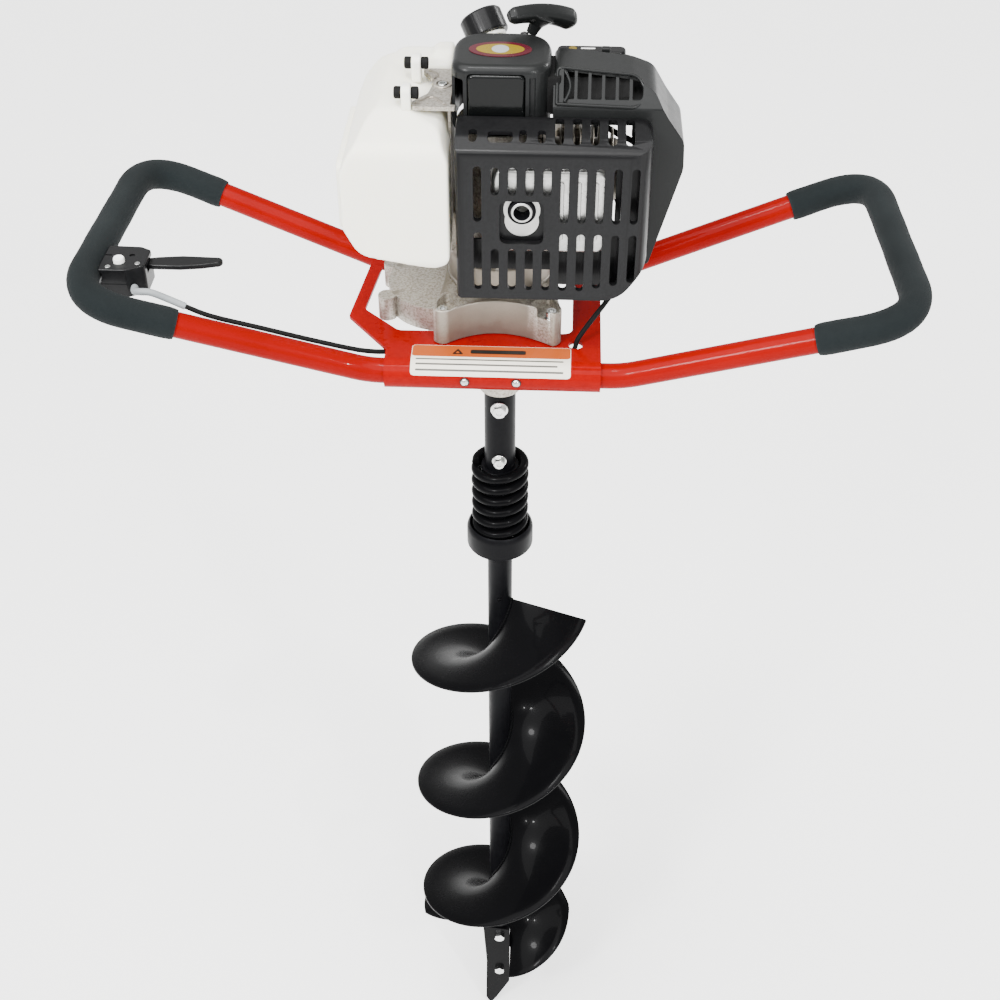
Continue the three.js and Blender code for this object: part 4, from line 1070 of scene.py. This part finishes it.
def make_recoil_cover():
    x0, x1, y0, y1 = RECOIL.x0, RECOIL.x1, RECOIL.y0, 33.4
    low, top = RECOIL.z0, RECOIL.z1
    outline = fillet(rectangle(x0, x1, y0, y1), [17, 22, 30, 30], 10)
    shell = prism(outline, low, top)
    modified(shell, "BEVEL", width=6.5, segments=6, limit_method="ANGLE", angle_limit=math.radians(50),
             use_clamp_overlap=True)
    inner = fillet(rectangle(x0 + 2.5, x1 - 2.5, y0 + 6.5, y1 - 2.4), [8, 12, 27, 27])
    panel = rounded(block(-25, 22, y0 - 6, y0 + 3.2, low + 12, top - 6, 4, "XZ"), 1)
    groove = rounded(block(25, 30, y0 - 8, y0 + 3, low - 4, top - 9, 2), 0.6)
    notch = rounded(block(x0 - 5, -28, y0 - 5, y0 + 12, low + 2, top - 11, 2.4, "XZ"), 0.8)
    foot = block(x0 + 12, 24, y0 - 5, y0 + 2.4, low - 1, low + 9)
    cut(shell, prism(inner, low - 1, top - 3), panel, groove, notch, foot)
    spindle = post(5, 214, top - 1, 0, 0)
    bridge = rounded(block(13, 29, y1 - 2, 43, 238, 246, 3), 1, 3)
    guide = lathe([(3.5, -5), (6.6, -5), (8, -3.6), (8, 3.4), (6.4, 5), (4.4, 5), (3.5, 4), (3.5, -5)], 40,
                  GUIDE, PULL)
    joined(shell, spindle, bridge)
    cut(shell, placed(post(7.9, -20, 20), GUIDE, PULL))
    rounded(shell, 0.7, 2, 45)
    give(shell, "recoil_housing", GREY_PLASTIC, "recoil_cover")
    give(guide, "rope_guide", PLASTIC)
    face = block(-24.4, 21.4, y0 - 1.6, y0 + 3.6, low + 12.6, top - 6.6, 5, "XZ")
    give(rounded(face, 2.4, 5), "recoil_front_panel", GLOSS_PLASTIC)
    x, y, z = 33, y0 + 5, low + 8
    screw = cut(rod(4, 6, (x, y, z), (0, -1, 0), 32, 0.7),
                block(x - 3, x + 3, y - 4, y - 2, z - 0.5, z + 0.5))
    give(screw, "recoil_screw", ZINC)


def oval(name, half_x, half_y, z0, z1, material, steps=64):
    points = [(0.5 + half_x * math.cos(TAU * k / steps), -4 + half_y * math.sin(TAU * k / steps))
              for k in range(steps)]
    badge = rounded(prism(points, z0, z1), 0.08)
    give(badge, name, material)


def make_badge():
    """A plain oval badge: ring, field and centre, with no mark on it."""
    top = RECOIL.z1
    oval("badge_ring", 25.5, 14.5, top - 0.2, top + 0.5, MAROON)
    oval("badge_field", 19.5, 10, top + 0.5, top + 0.62, YELLOW)
    oval("badge_centre", 7, 7.4, top + 0.62, top + 0.7, SILVER)


def make_starter_handle():
    """A curved hand bar on a flared neck."""
    bar = Vector((0.82, 0.45, -0.34)).normalized()
    centre = FOOT + PULL * 17
    ends = [centre - bar * 32 - Vector((0, 0, 8)), centre + bar * 32]
    top = centre + PULL * 5.6
    points = bend(ends[0], top, ends[1], 40)
    oblong = []
    for a in range(0, 360, 10):
        c, s = math.cos(math.radians(a)), math.sin(math.radians(a))
        oblong.append((math.copysign(abs(c) ** 0.62, c), math.copysign(abs(s) ** 0.62, s)))
    radii = [6.2 + 2 * k / 40 - 2.2 * max(0, abs(k - 20) / 20 - 0.86) / 0.14 for k in range(41)]
    grip = sweep(points, radii, section=oblong)
    neck = lathe([(0, -1), (4.6, -1), (5, 3), (6, 8), (9.5, 13), (12, 17), (0, 18)], 40, FOOT, PULL)
    joined(grip, neck)
    melted(grip, 0.8, 5)
    give(grip, "starter_grip", GREY_PLASTIC, "starter_handle", body="starter_handle", angle=70,
         weighted=False)
    inside, knot = FOOT - PULL * 16, FOOT + PULL * 2
    rope = give(sweep(evenly([inside, knot], 24), 1.8, 14), "starter_rope", WHITE, body=None,
                weighted=False)
    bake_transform(rope)


def make_air_cleaner():
    box = Box("air_cleaner_cover")
    x0, x1, y0, y1 = box.x0, box.x1, box.y0, box.y1
    step = 224  # height of the front part of its top
    shell = prism(fillet(rectangle(x0, x1, y0, y1), 12, 8), box.z0, step)
    rim = rounded(block(x0 + 2, x1 - 8, 54, y1, step - 6, box.z1, 6), 1.8, 3)
    rounded(shell, 3.4, 4)
    joined(shell, rim)
    cut(shell, block(x0 + 2.5, x1 - 2.5, y0 + 2.5, y1 - 2.5, box.z0 - 1, step - 2.6, 9))
    ribs = [block(x, x + 2, y1 - 1.2, y1 + 2, box.z0 + 6, step - 6) for x in range(56, 104, 7)]
    cut(shell, merged(*ribs))
    rounded(shell, 0.6, 2, 45)
    give(shell, "air_cleaner_box", PLASTIC, "air_cleaner_cover")
    dot = post(3.4, box.z1 - 0.2, box.z1 + 0.35, 59, 61, 32)
    give(dot, "choke_mark_dot", YELLOW)
    bar = block(66, 78, 60.2, 61.8, box.z1 - 0.2, box.z1 + 0.35, 0.6)
    give(bar, "choke_mark_bar", WHITE)
    lever = Box("choke_lever")
    x, y, z = lever.x, lever.y, lever.z0 + 4.2
    hub = rod(4.2, 8, (x, y, z), (1, 0, 0), 36, 0.7)
    paddle = [(y - 3.4, z - 1), (y + 3.4, z - 1), (y + 3, z + 12.8), (y - 3, z + 12.8)]
    blade = rounded(prism(fillet(paddle, [1, 1, 2.6, 2.6]), x - 3.4, x + 3.4, "YZ"), 0.9, 3)
    joined(hub, blade)
    give(hub, "choke_paddle", GREY_PLASTIC, "choke_lever", body="choke_lever")


# ---------------------------------------------------------------- fuel tank
CAP_AXIS = Vector((-0.42, 0.58, 0.7)).normalized()
CAP_SEAT = Vector((-12, 64, 237))


def make_tank():
    front = fillet([
        (-114, 107), (-52, 93.5), (-38.5, 100), (-38.5, 194), (-46, 213), (-66, 219), (-82, 224.5),
        (-94, 224.5), (-106, 216), (-120, 196), (-127, 180), (-127, 132),
    ], [20, 10, 10, 20, 10, 12, 12, 12, 20, 20, 8, 18], 8)
    side = fillet([
        (-77, 94), (-80, 102), (-80, 204), (-40, 222), (0, 226), (60, 226), (78, 206), (78, 106), (70, 97),
    ], [8, 10, 16, 16, 16, 14, 12, 12, 8], 8)
    body = overlap(prism(front, -90, 90, "XZ"), prism(side, -150, -30, "YZ"))
    rear = rounded(block(-92, -41, 32, 74, 190, 226, 12), 6, 4)
    lobe = rounded(block(-70, 12, 38.2, 76, 192.5, 222, 12), 6, 4)
    neck = lathe([(0, -26), (17, -26), (13.6, -12), (12.4, -4), (12.4, 7), (0, 7)], 56, CAP_SEAT, CAP_AXIS)
    web = rounded(block(-60, -8, 44, 72, 212, 232, 10), 7, 4)
    joined(body, rear, lobe, web, neck)
    cut(body, block(-41, -30, -37, 90, 60, 300))
    melted(body, 1.7, 12)
    flange = rounded(block(-131, -125, -62, 50, 120, 182, 10, "YZ"), 1.6, 3)
    joined(body, flange)
    cut(body, placed(post(9, -26, 12), CAP_SEAT, CAP_AXIS))
    give(body, "fuel_tank_body", TANK, "fuel_tank", angle=70, weighted=False)
    for name in ("front", "rear"):
        buffer = Box(f"tank_buffer_{name}")
        x, y, z = buffer.x, buffer.y, buffer.z
        tab = rounded(block(x - 3.9, x + 3.9, y - 7.4, y + 7.4, z - 16, z + 6.8, 5.5, "YZ"), 1.3, 3)
        cut(tab, rod(4.7, 30, (x, y, z), (1, 0, 0)))
        give(tab, f"tank_lug_{name}", TANK)
        grommet = [(0, -10), (4, -10), (5, -9.2), (5, -5), (4.4, -4.2), (4.4, 4.2), (5, 5), (5, 9.2), (4, 10),
                   (0, 10)]
        give(lathe(grommet, 36, (x, y, z), (1, 0, 0)), f"tank_grommet_{name}", RUBBER,
             f"tank_buffer_{name}")


def make_fuel_cap():
    r = 18.4
    profile = [(0, 9.9), (13.2, 9.9), (13.2, 0.7), (r - 0.8, 0.7), (r, 2.4), (r, 19), (r - 1.6, 20.8),
               (11, 20.8), (10, 19.4), (0, 19.4)]
    cap = lathe(profile, 144, CAP_SEAT, CAP_AXIS, 24, 0.1)
    give(cap, "tank_cap", PLASTIC, "fuel_cap", body="fuel_cap")
    skirt = lathe([(12.6, -3), (14.6, -3), (15, -2.4), (15, -0.4), (12.6, -0.4), (12.6, -3)], 60)
    give(placed(skirt, CAP_SEAT, CAP_AXIS), "neck_collar", TANK)


def make_tank_bracket():
    """Die-cast carrier: two arms to the tank's lugs, a screw boss and a leg down the crankcase."""
    box = Box("tank_bracket")
    low, top = 221, box.z1
    edge = 1.0
    plate = prism(fillet([(-69, -44), (-34.2, -44), (-34.2, -39.5), (-38.5, -39.5), (-38.5, 28),
                          (-64.5, 28), (-64.5, 22.5), (-57, 12), (-55, -4), (-58, -20), (-69, -34)],
                         [4, 2, 1, 0, 3, 3, 3, 8, 12, 8, 4]), low, top)
    boss = (-47, -2)
    cut(plate, post(5.4, top - 1.2, top + 4, *boss))
    ring = cut(post(8, top - 0.4, top + edge, *boss, 44, 0.4), post(5.4, low - 2, top + 4, *boss))
    paths = ([(-66, -38, top), (-54, -24, top), (-42, -40, top)],
             [(-61, 25, top), (-50, 16, top), (-56, 6, top)])
    ribs = [sweep(evenly(bent_path(path, [6], 8), 24), 1.2, 12) for path in paths]
    leg = block(-40.6, -38.4, -36, 26, 119, low + 1)
    joined(plate, ring, *ribs, leg)
    rounded(plate, 0.5, 2, 45)
    give(plate, "tank_carrier", CAST, "tank_bracket")
    screw = cut(post(4.2, top - 1.4, top + 1.2, *boss, 32, 0.6),
                hexagon(2.4, 5, (*boss, top + 2.2), (0, 0, 1)))
    give(screw, "carrier_screw", ZINC)


# ---------------------------------------------------------------- drive and bit
FLIGHT_R = Box("main_flight").x1 + 0.3
PITCH = 205
STEM_R = Box("bit_stem").x1


def make_drive():
    tube = Box("drive_tube")
    r = tube.x1
    profile = [(10.5, tube.z1), (10.5, -124), (13.2, -124), (13.2, tube.z0), (r - 0.6, tube.z0),
               (r, tube.z0 + 0.6), (r, tube.z1 - 0.8), (r - 0.8, tube.z1), (10.5, tube.z1)]
    give(lathe(profile, 64), "drive_sleeve", SATIN, "drive_tube", body="drive")
    for name, size in (("upper", 6.6), ("lower", 5.5)):
        bolt = Box(f"shaft_bolt_{name}")
        z = bolt.z
        head = hexagon(size, 5.6, (0, bolt.y0 + 2.8, z), (0, -1, 0), 0.4, math.radians(12))
        flange = rod(size + 1.6, 1.4, (0, bolt.y0 + 6, z), (0, 1, 0), 44, 0.4)
        shank = rod(4, 36, (0, 0, z), (0, 1, 0))
        nut = hexagon(size, 6, (0, bolt.y1 - 3, z), (0, 1, 0), 0.4, 0.3)
        dimple = rod(size * 0.42, 1.2, (0, bolt.y0, z), (0, 1, 0), 24)
        joined(head, flange, shank, nut)
        cut(head, dimple)
        rounded(head, 0.25, 2, 40)
        give(head, f"{name}_shaft_bolt", ZINC, f"shaft_bolt_{name}", body="drive")


def make_spring():
    box = Box("shock_spring")
    wire, coils = 4.5, 7.5
    radius = box.x1 - wire
    low, high = box.z0 + wire, box.z1 - wire
    points = []
    for k in range(361):
        t = k / 360
        a = t * coils * TAU
        dead = 0.6 / coils  # closed end turns
        run = min(1, max(0, (t - dead) / (1 - 2 * dead)))
        z = low + (high - low) * (0.93 * run + 0.07 * t)
        points.append(Vector((radius * math.cos(a), radius * math.sin(a), z)))
    radii = [wire * (0.86 if min(k, 360 - k) < 2 else 1) for k in range(361)]
    bore, outer = Box("drive_tube").x1 + 0.2, radius - wire - 0.8
    first, last = box.z1 - 6, box.z1 - 80
    sleeve = [(bore, first), (outer - 0.6, first), (outer, first - 0.6), (outer, last + 0.6),
              (outer - 0.6, last), (bore, last), (bore, first)]
    give(lathe(sleeve, 64), "spring_guide", SATIN, body="drive")
    coil = give(sweep(points, radii, 24), "shock_coil", ENAMEL, "shock_spring", body="drive",
                weighted=False)
    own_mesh(coil)


def make_cup():
    cup = Box("spring_cup")
    r, bore = cup.x1, STEM_R + 0.5
    profile = [
        (bore, cup.z0), (r - 3, cup.z0), (r - 1, cup.z0 + 1.2), (r, cup.z0 + 3), (r, cup.z1 - 6),
        (r - 0.9, cup.z1 - 2.4), (r - 2.8, cup.z1), (30.2, cup.z1), (30, cup.z0 + 6), (bore, cup.z0 + 6),
        (bore, cup.z0),
    ]
    give(lathe(profile, 96), "spring_seat", SATIN, "spring_cup", body="bit", angle=30)


def helix_ribbon(first, last, top_z, radius_at):
    """A helical plate with a slightly rounded rim, welded to the stem."""
    body_r, thick = STEM_R + 0.2, 4
    count = round((first - last) / 3)
    bm = bmesh.new()
    rows = []
    across = 7
    for i in range(count + 1):
        degrees = first + (last - first) * i / count
        a = math.radians(degrees)
        z = top_z + PITCH * (degrees - first) / 360
        outer = radius_at(degrees)
        c, s = math.cos(a), math.sin(a)
        section = [(body_r + (outer - 0.9 - body_r) * k / across, -thick / 2) for k in range(across + 1)]
        section += [(outer, -thick / 4), (outer, thick / 4)]
        section += [(r, thick / 2) for r, _ in section[across::-1]]
        rows.append([bm.verts.new((r * c, r * s, z + h)) for r, h in section])
    for low, high in zip(rows, rows[1:]):
        skin(bm, low, high)
    bm.faces.new(rows[0])
    bm.faces.new(rows[-1][::-1])
    return new_object(bm)


def weld_bead(name, first, last, top_z, side):
    """A rippled fillet weld where a flight meets the stem."""
    points, radii = [], []
    count = int(first - last)
    for i in range(count + 1):
        degrees = first - i
        a = math.radians(degrees)
        z = top_z + PITCH * (degrees - first) / 360 + side * 2.6
        points.append(Vector(((STEM_R + 0.7) * math.cos(a), (STEM_R + 0.7) * math.sin(a), z)))
        radii.append(1.7 + 0.22 * math.sin(i * 0.9))
    give(sweep(points, radii, 10), name, ENAMEL, body="bit", weighted=False)


# the flights run between these angles, in degrees, downwards from their top
FLIGHT_START, FLIGHT_END, TAPER_START = -20, -1180, -1058
FLIGHT_TOP_Z = -352
FLIGHT_TIP_R = 26
LEAD_START, LEAD_END, LEAD_TOP_Z = 215, 120, -873
LEAD_R, LEAD_TAPER, LEAD_MIDDLE, LEAD_SPREAD = 97, 65, 175, 55


def main_radius(degrees):
    t = max(0, (TAPER_START - degrees) / (TAPER_START - FLIGHT_END))
    return FLIGHT_R + (FLIGHT_TIP_R - FLIGHT_R) * t


def lead_radius(degrees):
    return LEAD_R - LEAD_TAPER * max(0, abs(degrees - LEAD_MIDDLE) / LEAD_SPREAD - 0.35)


def make_bit():
    stem = Box("bit_stem")
    r = stem.x1
    profile = [(r - 3, stem.z0), (r - 0.5, stem.z0), (r, stem.z0 + 0.5), (r, stem.z1 - 0.6),
               (r - 0.6, stem.z1), (r - 3, stem.z1), (r - 3, stem.z0)]
    tube = lathe(profile, 64)
    cut(tube, block(-4.6, 4.6, -30, 30, -176, -157, 4.4, "XZ"), block(-14, 14, -14, -8.6, -1050, -925))
    give(tube, "auger_stem", SATIN, "bit_stem", body="bit")
    flight = helix_ribbon(FLIGHT_START, FLIGHT_END, FLIGHT_TOP_Z, main_radius)
    cut(flight, block(-23, 13.6, -14.2, -8.3, -1060, -915), block(-60, 13.6, -110, -8.3, -1060, -955))
    give(flight, "main_auger_flight", ENAMEL, "main_flight", body="bit", angle=50, weighted=False)
    lead = helix_ribbon(LEAD_START, LEAD_END, LEAD_TOP_Z, lead_radius)
    give(lead, "lead_flight", ENAMEL, "second_flight", body="bit", angle=50, weighted=False)
    for side, name in ((1, "upper"), (-1, "lower")):
        weld_bead(f"flight_weld_{name}", FLIGHT_START, -1000, FLIGHT_TOP_Z, side)
    pin = rod(2.2, 3, (0, -r - 0.6, -344), (0, 1, 0), 20, 0.5)
    give(pin, "stem_pin", ENAMEL, body="bit")


def make_point():
    blade = Box("point_blade")
    outline = fillet([
        (-21, blade.z1), (13, -931), (13, -1046), (-4, -1085), (-12, blade.z0), (-18, -1085), (-17, -1000),
    ], [3, 3, 8, 10, 0.8, 10, 30])
    plate = prism(outline, blade.y0, blade.y1, "XZ")
    cut(plate, *[rod(3.9, 30, (0, -12, Box(f"blade_bolt_{i}").z), (0, 1, 0)) for i in (1, 2)])
    rounded(plate, 0.9)
    give(plate, "auger_point", ENAMEL, "point_blade", body="bit")
    for i in (1, 2):
        bolt = Box(f"blade_bolt_{i}")
        z = bolt.z
        head = hexagon(6.6, 4.6, (0, bolt.y0 + 2.3, z), (0, -1, 0), 0.3, 0.26 * i)
        shank = rod(3.5, 30, (0, -1, z), (0, 1, 0))
        joined(head, shank)
        rounded(head, 0.25, 2, 40)
        give(head, f"point_bolt_{i}", ZINC, f"blade_bolt_{i}", body="bit")


# ---------------------------------------------------------------- throttle and cable
THROTTLE = Box("throttle_housing")
PIVOT = (-311, -60)


def make_throttle():
    low, top = THROTTLE.z0, THROTTLE.z1
    outline = fillet([(-345, -84), (-312, -84), (-297, -76), (-297, -50), (-306, -45), (-330, -44),
                      (-345, -48)], 3, 3)
    screws = ((-328, -78), (-304, -72))
    body = prism(outline, low, top)
    rounded(body, 1.1, 3)
    saddle = sweep(evenly(loop_path(-1), 90, *GRIP_SHARE), GRIP_R + 0.5, 40)
    lever_slot = block(-318, -290, -70, -40, 79.5, 86.5)
    pocket = post(7.5, 79.5, 86.5, *PIVOT)
    split = [block(-350, -290, y, y + 1, 76.6, 77.3) for y in (-84.6, -44.6)]
    button = post(5.4, top - 7, top + 1, -320, -70)
    slot = block(-334, -328, -61, -59.4, top - 1.5, top + 1)
    recess = [post(2.9, top - 1.2, top + 1, x, y, 24) for x, y in screws]
    cut(body, saddle, lever_slot, pocket, post(2.4, 70, top + 1, *PIVOT), button, slot, *split, *recess)
    rounded(body, 0.4, 2, 55)
    give(body, "throttle_clamp", PLASTIC, "throttle_housing")
    for i, (x, y) in enumerate(screws, 1):
        screw = cut(post(2.5, top - 1.1, top - 0.1, x, y, 24, 0.3),
                    block(x - 1.8, x + 1.8, y - 0.3, y + 0.3, top - 0.6, top + 1))
        give(screw, f"throttle_screw_{i}", ZINC)
    stop = Box("stop_button")
    button = lathe([(0, top - 3.5), (4.8, top - 3.5), (4.8, top + 2.6), (4.1, top + 3.8), (2.4, top + 3.4),
                    (0, top + 3)], 40, (stop.x, stop.y, 0))
    give(button, "stop_switch", WHITE, "stop_button", body="stop_button")


def make_lever():
    low, high = 80.5, 85.5
    edge = [(-305, -64), (-292, -66), (-270, -66.2), (-252, -63.5), (-240, -60)]
    edge += arc(-240, -55, 5, -80, 80, 8)
    edge += [(-252, -49.6), (-270, -48.9), (-290, -51.5), (-305, -55)]
    blade = rounded(prism(edge, low, high), 1.6, 4)
    hub = post(6.5, low, high, PIVOT[0], PIVOT[1], 40, 0.5)
    web = block(PIVOT[0], -303, -64, -55.5, low, high)
    pin = post(2, 71, THROTTLE.z1 - 1, *PIVOT)
    joined(hub, web, pin, blade)
    give(hub, "throttle_trigger", PLASTIC, "throttle_lever", body="throttle_lever")


CABLE_ROUTE = [
    (-306, -83.6, 74), (-304, -92, 75.5), (-298, -97, 78.2), (-288, -97.8, 78), (-274, -97.6, 71.6),
    (-261, -98, 65.4), (-240, -96.9, 55.4), (-200, -91.6, 41.2), (-160, -86.2, 26.9), (-125, -81, 15),
    (-108, -77, 10), (-97, -74, 8), (-85, -72.6, 7.2), (-40, -71.5, 7), (20, -71.5, 7), (54, -70.4, 6.2),
    (62, -68.4, 7), (67.8, -66.8, 10.6), (70.6, -65.4, 20), (80, -61, 34), (92, -53, 48), (102, -44.6, 61),
    (108, -34, 78), (108, -8, 92), (102, 20, 108), (90, 38, 124), (80, 44, 131), (75.6, 46, 139),
]
SLEEVED = 6  # points of the route inside the grey sleeve


def make_cable():
    give(sweep(smooth_path(CABLE_ROUTE, 420), 2.2, 18), "throttle_bowden_cable", RUBBER, "throttle_cable",
         weighted=False)
    points = smooth_path(CABLE_ROUTE[:SLEEVED], 60)
    radii = [3.0 + 0.12 * (k % 2) for k in range(60)]
    give(sweep(points, radii, 20), "cable_sleeve", GREY_SLEEVE, weighted=False)


# ---------------------------------------------------------------- inner machinery
INNER = [
    (STEEL, ["output_gear", "countershaft", "countershaft_gear", "clutch_drum", "clutch_shoes",
             "output_shaft", "crankshaft_lower", "crankshaft_upper", "connecting_rod", "piston",
             "input_bearing", "output_bearing_upper", "output_bearing_lower", "countershaft_bush_lower",
             "countershaft_bush_upper", "crank_bearing"]),
    (CAST, ["flywheel"]),
    (PLASTIC, ["starter_pulley"]),
]


def finish_inner():
    """The gears, shafts and bearings keep their CAD shape, with eased edges and a finish."""
    for material, names in INNER:
        for name in names:
            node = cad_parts[name]
            node.data.materials.clear()
            node.data.materials.append(material)
            ease = node.modifiers.new("eased_edges", "BEVEL")
            ease.width = 0.25 * MM
            ease.segments = 1
            ease.limit_method = "ANGLE"
            ease.angle_limit = math.radians(40)


add_camera()
add_studio()
make_handles()
make_bracket()
make_rivets()
make_label()
make_gearcase()
make_lower_case()
make_clutch_case()
make_block()
make_spark_plug()
make_intake()
make_muffler()
make_guard()
make_cover()
make_recoil_cover()
make_badge()
make_starter_handle()
make_air_cleaner()
make_tank()
make_fuel_cap()
make_tank_bracket()
make_drive()
make_spring()
make_cup()
make_bit()
make_point()
make_throttle()
make_lever()
make_cable()
finish_inner()
